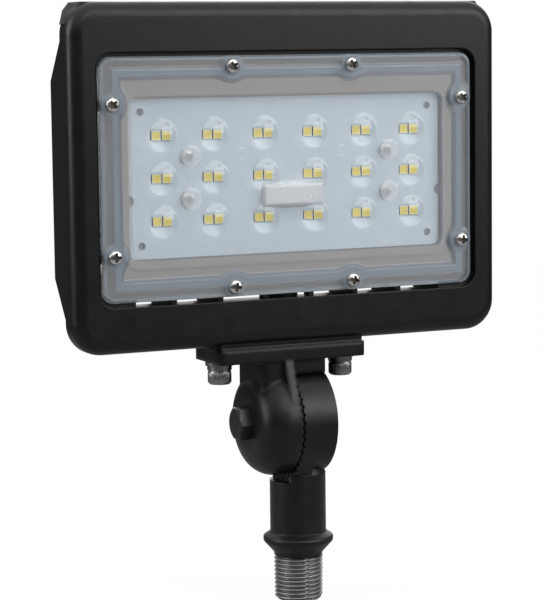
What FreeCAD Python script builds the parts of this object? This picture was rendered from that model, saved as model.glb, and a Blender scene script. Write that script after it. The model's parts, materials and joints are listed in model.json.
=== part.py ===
import FreeCAD, Part
import os
import Sketcher
from FreeCAD import Rotation, Vector

# LED flood light on a threaded knuckle, in millimetres.
# The origin is on the stem's axis at the thread's shoulder: +Z up, +X right, the lens faces -Y.

doc = FreeCAD.newDocument("FloodLight")
sheet = doc.addObject("Spreadsheet::Sheet", "Sizes")

SIZES = {
    # Head: rim, fins and driver box
    "head_width": 195.5,
    "head_height": 142.0,
    "rim_lift": 0.5,
    "head_corner": 13.0,
    "edge_round": 6.0,
    "rim_depth": 10.5,
    "wall": 3.2,
    "side_depth": 22.2,
    "side_flat": 80.0,
    "side_slope": 16.0,
    "roof_depth": 20.0,
    "roof_cut": 7.5,
    "roof_drop": 9.0,
    "slot_web": 2.4,
    "slot_reach": 70.0,
    "fin_pitch": 20.8,
    "fin_count": 3,
    "fin_thickness": 2.5,
    "fin_depth": 32.0,
    "fin_flat": 100.0,
    "rib_setback": 2.0,
    "box_width": 116.0,
    "box_height": 72.0,
    "box_corner": 8.0,
    "box_wall": 3.0,
    "box_depth": 42.0,
    "pad_height": 0.5,
    "pad_block": 8.0,
    "pad_inset": 1.5,
    "wire_bore": 10.0,
    "wire_wall": 2.6,
    # Lens and the tray behind it
    "lens_width": 170.0,
    "lens_height": 99.0,
    "lens_corner": 5.0,
    "lens_gap": 1.8,
    "lens_setback": 0.6,
    "lens_thickness": 2.5,
    "lens_gasket": 1.0,
    "gasket_width": 3.0,
    "tray_inset": 0.4,
    "tray_floor": 5.8,
    "rib_height": 0.6,
    "rib_width": 2.6,
    "rib_inset": 5.4,
    "window_margin": 0.6,
    "window_drop": 0.8,
    "dome_width": 9.4,
    "dome_height": 1.8,
    "screw_x": 27.2,
    "screw_z": 30.6,
    "screw_edge_x": 5.1,
    "screw_edge_z": 4.2,
    "boss_width": 13.0,
    "notch_width": 3.0,
    "notch_depth": 1.6,
    "hood_width": 28.0,
    "hood_height": 9.6,
    "hood_rise": 1.8,
    "hood_wall": 1.3,
    "pocket_width": 8.6,
    "pocket_rise": 0.5,
    # Board, LEDs and terminal block
    "board_width": 143.0,
    "board_height": 65.0,
    "board_thickness": 1.6,
    "board_margin": 1.0,
    "board_depth": 6.1,
    "led_columns": 6,
    "led_rows": 3,
    "led_pitch_x": 22.8,
    "led_pitch_z": 17.45,
    "led_size": 3.0,
    "led_pair": 3.9,
    "led_height": 0.7,
    "board_hole": 3.2,
    "board_hole_x": 66.0,
    "board_hole_z": 27.2,
    "board_notch": 4.4,
    "board_screw_x": 45.6,
    "board_screw_z": 8.72,
    "terminal_drop": 8.35,
    "terminal_width": 20.0,
    "terminal_height": 6.0,
    "terminal_rise": 3.6,
    "lead_spread": 5.0,
    "lead_width": 2.0,
    "lead_hole": 10.0,
    # Driver, its cover and their screws
    "driver_width": 84.0,
    "driver_height": 50.0,
    "driver_depth": 22.0,
    "ear_length": 9.0,
    "ear_thickness": 2.0,
    "cover_thickness": 3.0,
    "cover_gasket": 1.0,
    "cover_boss": 9.0,
    "cover_boss_inset": 6.5,
    "cover_raise": 1.5,
    "cover_border": 14.0,
    # Small screws: shank, head and length under the head
    "small_shank": 3.0,
    "small_head": 5.8,
    "small_head_height": 2.0,
    "small_length": 8.0,
    "board_screw_length": 5.0,
    "cover_shank": 4.0,
    "cover_head": 7.6,
    "cover_head_height": 2.5,
    "cover_screw_length": 13.0,
    "crown_share": 0.6,
    "thread_room": 0.05,
    "hole_room": 0.4,
    "hole_end": 1.0,
    # Knuckle
    "stem_offset": 7.5,
    "hinge_height": 57.5,
    "hinge_depth": 15.1,
    "disc_radius": 23.0,
    "upper_thickness": 16.4,
    "lower_thickness": 15.6,
    "dome_round": 11.5,
    "tooth_count": 42,
    "tooth_depth": 0.8,
    "tooth_ring": 5.5,
    "tooth_gap": 0.3,
    "tooth_land": 0.5,
    "cavity_radius": 13.5,
    "cavity_depth": 9.0,
    "hub_radius": 7.5,
    "seal_thickness": 1.2,
    "plate_rise": 33.2,
    "plate_length": 68.0,
    "plate_width": 28.0,
    "plate_thickness": 6.0,
    "plate_corner": 3.0,
    "plate_gasket": 1.0,
    "neck_width": 26.0,
    "neck_thickness": 14.0,
    "neck_corner": 2.0,
    "web_thickness": 4.5,
    "web_foot": 42.0,
    "web_height": 9.6,
    "saddle_length": 15.0,
    "saddle_width": 25.0,
    "saddle_gap": 1.5,
    "chamber_length": 24.0,
    "chamber_width": 15.0,
    "chamber_depth": 3.0,
    "plate_screw_spread": 56.6,
    "plate_screw": 6.0,
    "plate_screw_head": 10.0,
    "plate_screw_head_height": 6.0,
    "plate_screw_socket": 5.0,
    "plate_screw_reach": 12.0,
    "flat_washer": 12.0,
    "flat_washer_height": 1.6,
    "spring_washer": 10.4,
    "spring_washer_height": 1.9,
    "washer_split": 0.8,
    "bolt": 8.0,
    "bolt_flats": 13.0,
    "bolt_head_height": 5.0,
    "bolt_end": 1.5,
    "bolt_room": 0.05,
    "nut_height": 6.5,
    "nut_pocket": 5.0,
    "nut_room": 0.15,
    # Stem, flange and thread
    "stem_width": 24.0,
    "stem_flat": 0.35,
    "shelf_drop": 26.0,
    "stem_web": 8.2,
    "web_angle": 37.0,
    "flange_width": 30.0,
    "flange_rise": 5.0,
    "flange_edge": 2.0,
    "flange_round": 1.2,
    "thread_width": 20.95,
    "thread_length": 20.5,
    "thread_chamfer": 1.0,
    "stem_bore": 13.0,
    "stem_bore_top": 34.0,
    "cavity_bore": 9.0,
}

for row, (alias, size) in enumerate(SIZES.items(), start=1):
    sheet.set("A%d" % row, alias.replace("_", " "))
    sheet.set("B%d" % row, str(size))
    sheet.setAlias("B%d" % row, alias)
doc.recompute()


# Formulas shared by several pieces

RIM_FOOT = "(Sizes.head_height / 2 - Sizes.rim_lift)"
PAD_BOTTOM = "-(%s + Sizes.pad_height)" % RIM_FOOT
HEAD_CENTRE = "Sizes.hinge_height + Sizes.plate_rise + Sizes.plate_gasket - (%s)" % PAD_BOTTOM
HEAD = ("-Sizes.stem_offset", "-Sizes.hinge_depth", HEAD_CENTRE)
KNUCKLE = ("-Sizes.stem_offset", "0", "Sizes.hinge_height")

LENS_BACK = "(Sizes.lens_setback + Sizes.lens_thickness)"
TRAY_FRONT = "(%s + Sizes.lens_gasket)" % LENS_BACK
BOARD_BACK = "(Sizes.board_depth + Sizes.board_thickness)"
TRAY_BACK = "(%s + Sizes.tray_floor)" % BOARD_BACK
TRAY_WIDTH = "(Sizes.lens_width - 2 * Sizes.tray_inset)"
TRAY_HEIGHT = "(Sizes.lens_height - 2 * Sizes.tray_inset)"
RECESS_WIDTH = "(Sizes.board_width + 2 * Sizes.board_margin)"
RECESS_HEIGHT = "(Sizes.board_height + 2 * Sizes.board_margin)"
COVER_FRONT = "(Sizes.box_depth + Sizes.cover_gasket)"
COVER_BACK = "(%s + Sizes.cover_thickness)" % COVER_FRONT
BOSS_X = "(Sizes.box_width / 2 - Sizes.cover_boss_inset)"
BOSS_Z = "(Sizes.box_height / 2 - Sizes.cover_boss_inset)"
EAR_X = "((Sizes.driver_width + Sizes.ear_length) / 2)"
PAD_LENGTH = "(Sizes.plate_length - 2 * Sizes.pad_inset)"
PAD_WIDTH = "(Sizes.plate_width - 2 * Sizes.pad_inset)"
TOP_SCREW_Z = "(Sizes.lens_height / 2 - Sizes.screw_edge_z)"
SIDE_SCREW_X = "(Sizes.lens_width / 2 - Sizes.screw_edge_x)"
DOME_CENTRE = "(((Sizes.dome_width / 2)^2 - Sizes.dome_height^2) / (2 * Sizes.dome_height))"

FACE = "(Sizes.tooth_gap / 2)"
UPPER_END = "(%s + Sizes.upper_thickness)" % FACE
LOWER_END = "(%s + Sizes.lower_thickness)" % FACE
TOOTH_ROOT = "(Sizes.disc_radius - Sizes.tooth_ring)"
PLATE_BOTTOM = "(Sizes.plate_rise - Sizes.plate_thickness)"
WASHER_BOTTOM = "(%s - Sizes.flat_washer_height)" % PLATE_BOTTOM
SCREW_SEAT = "(%s - Sizes.spring_washer_height)" % WASHER_BOTTOM
SCREW_TOP = "(Sizes.plate_rise + Sizes.plate_gasket + Sizes.plate_screw_reach)"
SCREW_SPOT = "Sizes.plate_screw_spread / 2"

FORWARD = {"Pad": False, "Pocket": True}
BACKWARD = {"Pad": True, "Pocket": False}
UP = {"Pad": False, "Pocket": True}
DOWN = {"Pad": True, "Pocket": False}
RIGHT = UP
LEFT = DOWN

LENS_SCREWS = [
    (sx + x, sz + z)
    for x, z in (("Sizes.screw_x", TOP_SCREW_Z), (SIDE_SCREW_X, "Sizes.screw_z"))
    for sx in ("", "-")
    for sz in ("", "-")
]
BOARD_SCREWS = [
    (sx + "Sizes.board_screw_x", sz + "Sizes.board_screw_z") for sx in ("", "-") for sz in ("", "-")
]
BOARD_HOLES = [
    (sx + "Sizes.board_hole_x", sz + "Sizes.board_hole_z") for sx in ("", "-") for sz in ("", "-")
]
BOARD_NOTCHES = [(side + "Sizes.board_width / 2", "-Sizes.board_screw_z") for side in ("", "-")]
COVER_SCREWS = [(sx + BOSS_X, sz + BOSS_Z) for sx in ("", "-") for sz in ("", "-")]
DRIVER_SCREWS = [(EAR_X, "0"), ("-" + EAR_X, "0")]
LEADS = [(side + "Sizes.lead_spread / 2", "-Sizes.terminal_drop") for side in ("", "-")]
PLATE_SCREWS = [(SCREW_SPOT, "0"), ("-" + SCREW_SPOT, "0")]
HEAD_SCREWS = [(SCREW_SPOT, "Sizes.hinge_depth"), ("-" + SCREW_SPOT, "Sizes.hinge_depth")]


# Sketches and features

def value(formula):
    return float(sheet.evalExpression(formula))


def new_body(label, place):
    body = doc.addObject("PartDesign::Body", label)
    body.Label = label
    for axis, formula in zip("xyz", place):
        body.setExpression("Placement.Base." + axis, formula)
    return body


def origin_part(body, role):
    return next(item for item in body.Origin.OriginFeatures if item.Role == role)


def sketch_on(body, plane, name, offset=("0", "0", "0")):
    """A sketch on one of the body's own planes, moved by formulas along the plane's axes and normal."""
    sketch = body.newObject("Sketcher::SketchObject", name)
    sketch.AttachmentSupport = (origin_part(body, plane), [""])
    sketch.MapMode = "FlatFace"
    for axis, formula in zip("xyz", offset):
        sketch.setExpression("AttachmentOffset.Base." + axis, formula)
    return sketch


def front_sketch(body, name, depth="0", rise="0"):
    """A sketch facing the front, at a depth behind the rim's face and raised above the lens's middle."""
    return sketch_on(body, "XZ_Plane", name, ("0", rise, "-(%s)" % depth))


def side_sketch(body, name, x="0"):
    return sketch_on(body, "YZ_Plane", name, ("0", "0", x))


def plan_sketch(body, name, z="0"):
    return sketch_on(body, "XY_Plane", name, ("0", "0", z))


def hold(sketch, kind, formula, *elements):
    index = sketch.addConstraint(Sketcher.Constraint(kind, *elements, value(formula)))
    sketch.setExpression("Constraints[%d]" % index, formula)


def hold_point(sketch, edge, end, x, y):
    hold(sketch, "DistanceX", x, -1, 1, edge, end)
    hold(sketch, "DistanceY", y, -1, 1, edge, end)


def draw_polygon(sketch, corners):
    first = sketch.GeometryCount
    count = len(corners)
    spots = [Vector(value(x), value(y), 0) for x, y in corners]
    for i in range(count):
        sketch.addGeometry(Part.LineSegment(spots[i], spots[(i + 1) % count]))
    for i, (x, y) in enumerate(corners):
        following = first + (i + 1) % count
        sketch.addConstraint(Sketcher.Constraint("Coincident", first + i, 2, following, 1))
        hold_point(sketch, first + i, 1, x, y)


def draw_box(sketch, width, height, x="0", y="0"):
    left = "%s - (%s) / 2" % (x, width)
    right = "%s + (%s) / 2" % (x, width)
    low = "%s - (%s) / 2" % (y, height)
    high = "%s + (%s) / 2" % (y, height)
    draw_polygon(sketch, [(left, low), (right, low), (right, high), (left, high)])


def draw_circle(sketch, radius, x="0", y="0"):
    centre = Vector(value(x), value(y), 0)
    edge = sketch.addGeometry(Part.Circle(centre, Vector(0, 0, 1), value(radius)))
    hold(sketch, "Radius", radius, edge)
    hold_point(sketch, edge, 3, x, y)


def draw_circles(sketch, radius, spots):
    for x, y in spots:
        draw_circle(sketch, radius, x, y)


def draw_hexagon(sketch, flats, x="0", y="0"):
    """A hexagon of the given width across flats, with two corners on the sketch's horizontal axis."""
    reach = "(%s) / sqrt(3)" % flats
    corners = [
        ("%s + %s * cos(%d)" % (x, reach, angle), "%s + %s * sin(%d)" % (y, reach, angle))
        for angle in range(0, 360, 60)
    ]
    draw_polygon(sketch, corners)


def draw_round_box(sketch, width, height, corner):
    """A rectangle with rounded corners, centred on the sketch's origin."""
    first = sketch.GeometryCount
    reach_x = "((%s) / 2 - (%s))" % (width, corner)
    reach_y = "((%s) / 2 - (%s))" % (height, corner)
    radius = value(corner)
    for turn, (sx, sy) in enumerate((("", "-"), ("", ""), ("-", ""), ("-", "-"))):
        centre = Vector(value(sx + reach_x), value(sy + reach_y), 0)
        rotation = Rotation(Vector(0, 0, 1), 90 * turn)
        start = centre + rotation.multVec(Vector(0, -radius, 0))
        end = centre + rotation.multVec(Vector(radius, 0, 0))
        middle = centre + rotation.multVec(Vector(radius, -radius, 0) / 2**0.5)
        arc = sketch.addGeometry(Part.Arc(start, middle, end))
        hold(sketch, "Radius", corner, arc)
        hold_point(sketch, arc, 3, sx + reach_x, sy + reach_y)
    for turn in range(4):
        arc = sketch.Geometry[first + turn]
        after = sketch.Geometry[first + (turn + 1) % 4]
        line = sketch.addGeometry(Part.LineSegment(arc.EndPoint, after.StartPoint))
        sketch.addConstraint(Sketcher.Constraint("Tangent", first + turn, 2, line, 1))
        sketch.addConstraint(Sketcher.Constraint("Tangent", line, 2, first + (turn + 1) % 4, 1))


def extrude(body, kind, sketch, length, way):
    """A Pad or a Pocket of the sketch; a pocket has to take material away."""
    before = 0 if body.Shape.isNull() else body.Shape.Volume
    feature = body.newObject("PartDesign::" + kind, sketch.Name + "_" + kind.lower())
    feature.Profile = sketch
    feature.setExpression("Length", length)
    feature.Reversed = way[kind]
    doc.recompute()
    gain = feature.Shape.Volume - before
    if (gain > 0) != (kind == "Pad"):
        raise ValueError("%s of %s leaves the solid as it was" % (kind, sketch.Label))
    return feature


def pad(body, sketch, length, way):
    return extrude(body, "Pad", sketch, length, way)


def pocket(body, sketch, length, way):
    return extrude(body, "Pocket", sketch, length, way)


def revolve(body, sketch, axis):
    feature = body.newObject("PartDesign::Revolution", sketch.Name + "_turned")
    feature.Profile = sketch
    feature.ReferenceAxis = (sketch, [axis])
    feature.Angle = 360
    doc.recompute()
    return feature


def round_edges(body, name, radius, chosen):
    base = body.Tip
    names = [
        "Edge%d" % number
        for number, edge in enumerate(base.Shape.Edges, start=1)
        if chosen([edge.valueAt(edge.FirstParameter), edge.valueAt(edge.LastParameter), edge.CenterOfMass])
    ]
    fillet = body.newObject("PartDesign::Fillet", name)
    fillet.Base = (base, names)
    fillet.setExpression("Radius", radius)
    doc.recompute()
    return fillet


def near(a, b):
    return abs(a - b) < 1e-4


def repeat(body, name, originals, steps):
    """The features repeated by each step in turn: a pattern along an axis or a mirror plane."""
    multi = body.newObject("PartDesign::MultiTransform", name)
    multi.Originals = originals
    changes = []
    for step in steps:
        if step[0] == "mirror":
            change = doc.addObject("PartDesign::Mirrored", name + "_mirror")
            change.MirrorPlane = (origin_part(body, step[1]), [""])
        else:
            change = doc.addObject("PartDesign::LinearPattern", name + "_row")
            change.Direction = (origin_part(body, step[1]), [""])
            change.setExpression("Length", "(%s) * (%s - 1)" % (step[2], step[3]))
            change.setExpression("Occurrences", step[3])
        body.addObject(change)
        changes.append(change)
    multi.Transformations = changes
    body.Tip = multi
    doc.recompute()
    return multi


# Housing: rim, fins, tray, driver box and mounting pad in one casting

def make_housing():
    body = new_body("housing", HEAD)

    rim = front_sketch(body, "rim", "0", "Sizes.rim_lift")
    draw_round_box(rim, "Sizes.head_width", "Sizes.head_height", "Sizes.head_corner")
    pad(body, rim, "Sizes.rim_depth", BACKWARD)
    round_edges(body, "rim_round", "Sizes.edge_round", lambda spots: all(near(spot.y, 0) for spot in spots))

    hollow = front_sketch(body, "rim_hollow", "Sizes.rim_depth", "Sizes.rim_lift")
    draw_round_box(
        hollow,
        "Sizes.head_width - 2 * Sizes.wall",
        "Sizes.head_height - 2 * Sizes.wall",
        "Sizes.head_corner - Sizes.wall",
    )
    pocket(body, hollow, "Sizes.rim_depth - Sizes.wall", FORWARD)

    opening = front_sketch(body, "rim_opening")
    draw_round_box(
        opening,
        "Sizes.lens_width + 2 * Sizes.lens_gap",
        "Sizes.lens_height + 2 * Sizes.lens_gap",
        "Sizes.lens_corner + Sizes.lens_gap",
    )
    pocket(body, opening, "Sizes.wall", BACKWARD)

    side_high = "Sizes.side_flat / 2"
    side_foot = "(Sizes.side_flat / 2 + Sizes.side_slope)"
    wall_side = side_sketch(body, "side_wall", "Sizes.head_width / 2 - Sizes.wall")
    draw_polygon(wall_side, [
        ("Sizes.edge_round", "-" + side_foot),
        ("Sizes.rim_depth", "-" + side_foot),
        ("Sizes.side_depth", "-" + side_high),
        ("Sizes.side_depth", side_high),
        ("Sizes.rim_depth", side_foot),
        ("Sizes.edge_round", side_foot),
    ])
    right_wall = pad(body, wall_side, "Sizes.wall", RIGHT)
    repeat(body, "side_walls", [right_wall], [("mirror", "YZ_Plane")])

    side = "Sizes.head_width / 2"
    top = "Sizes.head_height / 2"
    low = top + " - Sizes.roof_drop"
    under = top + " - Sizes.wall"
    roof = front_sketch(body, "roof", "Sizes.edge_round", "Sizes.rim_lift")
    draw_polygon(roof, [
        ("-" + side, low),
        ("Sizes.roof_cut - " + side, top),
        (side + " - Sizes.roof_cut", top),
        (side, low),
        (side + " - Sizes.wall", low),
        (side + " - Sizes.roof_cut - Sizes.wall / 2", under),
        ("Sizes.roof_cut + Sizes.wall / 2 - " + side, under),
        ("Sizes.wall - " + side, low),
    ])
    pad(body, roof, "Sizes.roof_depth - Sizes.edge_round", BACKWARD)
    slope = side_sketch(body, "roof_slope", "-" + side)
    draw_polygon(slope, [
        ("Sizes.rim_depth", low + " + Sizes.rim_lift"),
        ("Sizes.roof_depth", low + " + Sizes.rim_lift"),
        ("Sizes.roof_depth", under + " + Sizes.rim_lift"),
    ])
    pocket(body, slope, "Sizes.head_width", RIGHT)

    fin_foot = "(%s - Sizes.wall / 2)" % RIM_FOOT
    tray_edge = "Sizes.wall / 2"
    web = front_sketch(body, "slot_web", "Sizes.wall")
    draw_round_box(web, "Sizes.head_width - Sizes.wall", "2 * " + fin_foot, "Sizes.head_corner")
    draw_round_box(
        web, "%s - %s" % (TRAY_WIDTH, tray_edge), "%s - %s" % (TRAY_HEIGHT, tray_edge), "Sizes.lens_corner"
    )
    pad(body, web, "Sizes.slot_web", BACKWARD)
    slot_low = "-(%s - Sizes.wall)" % RIM_FOOT
    slot_high = "-(%s - %s) / 2" % (TRAY_HEIGHT, tray_edge)
    slot = front_sketch(body, "air_slot", "Sizes.wall")
    draw_polygon(slot, [
        ("-Sizes.slot_reach", slot_low),
        ("Sizes.slot_reach", slot_low),
        ("Sizes.slot_reach", slot_high),
        ("-Sizes.slot_reach", slot_high),
    ])
    pocket(body, slot, "Sizes.slot_web", BACKWARD)

    fin_front = "(%s + Sizes.rib_setback)" % TRAY_FRONT
    fin_high = "Sizes.fin_flat / 2"
    first_fin = "Sizes.fin_pitch + Sizes.fin_pitch / 2 - Sizes.fin_thickness / 2"
    fin_side = side_sketch(body, "fin", first_fin)
    draw_polygon(fin_side, [
        (fin_front, "-" + fin_foot),
        ("Sizes.rim_depth", "-" + fin_foot),
        ("Sizes.fin_depth", "-" + fin_high),
        ("Sizes.fin_depth", fin_high),
        ("Sizes.roof_depth", fin_foot),
        (fin_front, fin_foot),
    ])
    fin = pad(body, fin_side, "Sizes.fin_thickness", RIGHT)
    row = ("row", "X_Axis", "Sizes.fin_pitch", "Sizes.fin_count")
    repeat(body, "fins", [fin], [row, ("mirror", "YZ_Plane")])

    middle_fin = "Sizes.fin_pitch / 2 - Sizes.fin_thickness / 2"
    box_top = "(Sizes.box_height / 2 - Sizes.box_wall / 2)"
    top_side = side_sketch(body, "top_fin", middle_fin)
    draw_polygon(top_side, [
        (fin_front, box_top),
        ("Sizes.fin_depth", box_top),
        ("Sizes.fin_depth", fin_high),
        ("Sizes.roof_depth", fin_foot),
        (fin_front, fin_foot),
    ])
    top_fin = pad(body, top_side, "Sizes.fin_thickness", RIGHT)
    rib_top = "(%s / 2 - Sizes.wall)" % TRAY_HEIGHT
    rib_side = side_sketch(body, "low_rib", middle_fin)
    draw_polygon(rib_side, [
        (fin_front, "-" + fin_foot),
        ("Sizes.rim_depth", "-" + fin_foot),
        ("Sizes.rim_depth", "-" + rib_top),
        (fin_front, "-" + rib_top),
    ])
    low_rib = pad(body, rib_side, "Sizes.fin_thickness", RIGHT)
    repeat(body, "middle_fins", [top_fin, low_rib], [("mirror", "YZ_Plane")])

    tray = front_sketch(body, "tray", TRAY_FRONT)
    draw_round_box(tray, TRAY_WIDTH, TRAY_HEIGHT, "Sizes.lens_corner")
    pad(body, tray, "%s - %s" % (TRAY_BACK, TRAY_FRONT), BACKWARD)

    box = front_sketch(body, "driver_box", BOARD_BACK)
    draw_round_box(box, "Sizes.box_width", "Sizes.box_height", "Sizes.box_corner")
    pad(body, box, "Sizes.box_depth - %s" % BOARD_BACK, BACKWARD)

    block = plan_sketch(body, "mounting_pad", PAD_BOTTOM)
    draw_box(block, PAD_LENGTH, PAD_WIDTH, "0", "Sizes.hinge_depth")
    pad(body, block, "Sizes.pad_height + Sizes.pad_block", UP)

    bosses = plan_sketch(body, "screw_bosses", PAD_BOTTOM)
    draw_circles(bosses, "Sizes.plate_screw", HEAD_SCREWS)
    pad(body, bosses, "Sizes.plate_screw_reach + Sizes.hole_end + Sizes.wall", UP)

    tunnel_top = "(%s + Sizes.pad_height - Sizes.box_height / 2 + Sizes.box_wall)" % RIM_FOOT
    tunnel = plan_sketch(body, "wire_tunnel", PAD_BOTTOM)
    draw_circle(tunnel, "Sizes.wire_bore / 2 + Sizes.wire_wall", "0", "Sizes.hinge_depth")
    pad(body, tunnel, tunnel_top, UP)

    recess = front_sketch(body, "board_recess", TRAY_FRONT)
    draw_round_box(recess, RECESS_WIDTH, RECESS_HEIGHT, "Sizes.lens_corner")
    pocket(body, recess, "%s - %s" % (BOARD_BACK, TRAY_FRONT), BACKWARD)

    cavity = front_sketch(body, "driver_cavity", "Sizes.box_depth")
    draw_round_box(
        cavity,
        "Sizes.box_width - 2 * Sizes.box_wall",
        "Sizes.box_height - 2 * Sizes.box_wall",
        "Sizes.box_corner - Sizes.box_wall",
    )
    pocket(body, cavity, "Sizes.box_depth - %s" % TRAY_BACK, FORWARD)

    posts = front_sketch(body, "cover_posts", TRAY_BACK)
    draw_circles(posts, "Sizes.cover_boss / 2", COVER_SCREWS)
    pad(body, posts, "Sizes.box_depth - %s" % TRAY_BACK, BACKWARD)

    bore = plan_sketch(body, "wire_bore", PAD_BOTTOM)
    draw_circle(bore, "Sizes.wire_bore / 2", "0", "Sizes.hinge_depth")
    pocket(body, bore, tunnel_top, UP)

    tapped = plan_sketch(body, "tapped_holes", PAD_BOTTOM)
    draw_circles(tapped, "Sizes.plate_screw / 2 + Sizes.thread_room", HEAD_SCREWS)
    pocket(body, tapped, "Sizes.plate_screw_reach + Sizes.hole_end", UP)

    small_hole = "Sizes.small_shank / 2 + Sizes.thread_room"
    holes = front_sketch(body, "lens_screw_holes", TRAY_FRONT)
    draw_circles(holes, small_hole, LENS_SCREWS)
    under_lens = "Sizes.small_length - Sizes.lens_thickness - Sizes.lens_gasket - Sizes.rib_height"
    pocket(body, holes, under_lens + " + Sizes.hole_end", BACKWARD)

    holes = front_sketch(body, "board_screw_holes", BOARD_BACK)
    draw_circles(holes, small_hole, BOARD_SCREWS)
    pocket(body, holes, "Sizes.board_screw_length - Sizes.board_thickness + Sizes.hole_end / 2", BACKWARD)

    holes = front_sketch(body, "driver_screw_holes", TRAY_BACK)
    draw_circles(holes, small_hole, DRIVER_SCREWS)
    pocket(body, holes, "Sizes.board_screw_length - Sizes.ear_thickness + Sizes.hole_end / 2", FORWARD)

    holes = front_sketch(body, "cover_screw_holes", "Sizes.box_depth")
    draw_circles(holes, "Sizes.cover_shank / 2 + Sizes.thread_room", COVER_SCREWS)
    under_cover = "Sizes.cover_screw_length - Sizes.cover_thickness - Sizes.cover_gasket"
    pocket(body, holes, under_cover + " + Sizes.hole_end", FORWARD)

    passage = front_sketch(body, "lead_passage", BOARD_BACK)
    draw_circle(passage, "Sizes.lead_hole / 2", "0", "-Sizes.terminal_drop")
    pocket(body, passage, "Sizes.tray_floor", BACKWARD)


# Lens, its seal and its screws

def make_lens():
    body = new_body("lens", HEAD)

    flange = front_sketch(body, "flange", "Sizes.lens_setback")
    draw_round_box(flange, "Sizes.lens_width", "Sizes.lens_height", "Sizes.lens_corner")
    pad(body, flange, "Sizes.lens_thickness", BACKWARD)

    window = front_sketch(body, "window", "Sizes.lens_setback")
    draw_round_box(
        window,
        "Sizes.board_width + 2 * Sizes.window_margin",
        "Sizes.board_height + 2 * Sizes.window_margin",
        "Sizes.lens_corner / 2",
    )
    pocket(body, window, "Sizes.window_drop", BACKWARD)

    rib = front_sketch(body, "rib", "Sizes.lens_setback")
    rib_out = " - 2 * Sizes.rib_inset"
    rib_in = " - 2 * (Sizes.rib_inset + Sizes.rib_width)"
    for shrink, corner in ((rib_out, "Sizes.lens_corner"), (rib_in, "Sizes.lens_corner / 2")):
        draw_round_box(rib, "Sizes.lens_width" + shrink, "Sizes.lens_height" + shrink, corner)
    pad(body, rib, "Sizes.rib_height", FORWARD)

    bosses = front_sketch(body, "screw_bosses", "Sizes.lens_setback")
    draw_circles(bosses, "Sizes.boss_width / 2", LENS_SCREWS)
    pad(body, bosses, "Sizes.rib_height", FORWARD)
    trim = front_sketch(body, "boss_trim", "Sizes.lens_setback")
    for growth in (" + 2 * Sizes.boss_width", ""):
        draw_round_box(trim, "Sizes.lens_width" + growth, "Sizes.lens_height" + growth, "Sizes.lens_corner")
    pocket(body, trim, "Sizes.rib_height", FORWARD)

    window_face = "Sizes.lens_setback + Sizes.window_drop"
    pockets = front_sketch(body, "screw_pockets", window_face)
    draw_circles(pockets, "Sizes.pocket_width / 2", BOARD_SCREWS)
    pad(body, pockets, "Sizes.pocket_rise", FORWARD)

    hood = front_sketch(body, "hood", window_face)
    draw_box(hood, "Sizes.hood_width", "Sizes.hood_height", "0", "-Sizes.terminal_drop")
    pad(body, hood, "Sizes.hood_rise", FORWARD)

    first_x = "-Sizes.led_pitch_x * (Sizes.led_columns - 1) / 2"
    first_z = "-Sizes.led_pitch_z * (Sizes.led_rows - 1) / 2"
    cap = sketch_on(body, "XY_Plane", "dome", (first_x, window_face, first_z))
    root = Vector(0, value("Sizes.lens_thickness - Sizes.window_drop") / 2, 0)
    edge = Vector(value("Sizes.dome_width / 2"), 0, 0)
    crown = Vector(0, -value("Sizes.dome_height"), 0)
    centre = Vector(0, value(DOME_CENTRE), 0)
    middle = (edge + crown) / 2 - centre
    middle = centre + middle * ((edge - centre).Length / middle.Length)
    cap.addGeometry(Part.LineSegment(crown, root))
    cap.addGeometry(Part.LineSegment(root, edge + root))
    cap.addGeometry(Part.LineSegment(edge + root, edge))
    cap.addGeometry(Part.Arc(crown, middle, edge))
    for joint in ((0, 2, 1, 1), (1, 2, 2, 1), (2, 2, 3, 2), (3, 1, 0, 1)):
        cap.addConstraint(Sketcher.Constraint("Coincident", *joint))
    cap.addConstraint(Sketcher.Constraint("PointOnObject", 3, 3, -2))
    embed = "(Sizes.lens_thickness - Sizes.window_drop) / 2"
    hold_point(cap, 0, 1, "0", "-Sizes.dome_height")
    hold_point(cap, 1, 1, "0", embed)
    hold_point(cap, 2, 1, "Sizes.dome_width / 2", embed)
    hold_point(cap, 2, 2, "Sizes.dome_width / 2", "0")
    dome = revolve(body, cap, "V_Axis")
    across = ("row", "X_Axis", "Sizes.led_pitch_x", "Sizes.led_columns")
    upward = ("row", "Z_Axis", "Sizes.led_pitch_z", "Sizes.led_rows")
    repeat(body, "domes", [dome], [across, upward])

    room = front_sketch(body, "hood_room", LENS_BACK)
    inside = "Sizes.lens_thickness - Sizes.window_drop + Sizes.hood_rise - Sizes.hood_wall"
    draw_box(
        room,
        "Sizes.hood_width - 2 * Sizes.hood_wall",
        "Sizes.hood_height - 2 * Sizes.hood_wall",
        "0",
        "-Sizes.terminal_drop",
    )
    pocket(body, room, inside, FORWARD)

    holes = front_sketch(body, "screw_holes", "Sizes.lens_setback - Sizes.rib_height")
    draw_circles(holes, "(Sizes.small_shank + Sizes.hole_room) / 2", LENS_SCREWS)
    pocket(body, holes, "Sizes.lens_thickness + Sizes.rib_height", BACKWARD)

    notches = front_sketch(body, "edge_notches", "Sizes.lens_setback - Sizes.rib_height")
    edge_x = "(Sizes.lens_width / 2 - Sizes.notch_depth / 2)"
    edge_z = "(Sizes.lens_height / 2 - Sizes.notch_depth / 2)"
    for x, z in LENS_SCREWS:
        if "screw_x" in x:
            side = "-" if z.startswith("-") else ""
            draw_box(notches, "Sizes.notch_width", "Sizes.notch_depth", x, side + edge_z)
        else:
            side = "-" if x.startswith("-") else ""
            draw_box(notches, "Sizes.notch_depth", "Sizes.notch_width", side + edge_x, z)
    pocket(body, notches, "Sizes.lens_thickness + Sizes.rib_height", BACKWARD)


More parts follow.
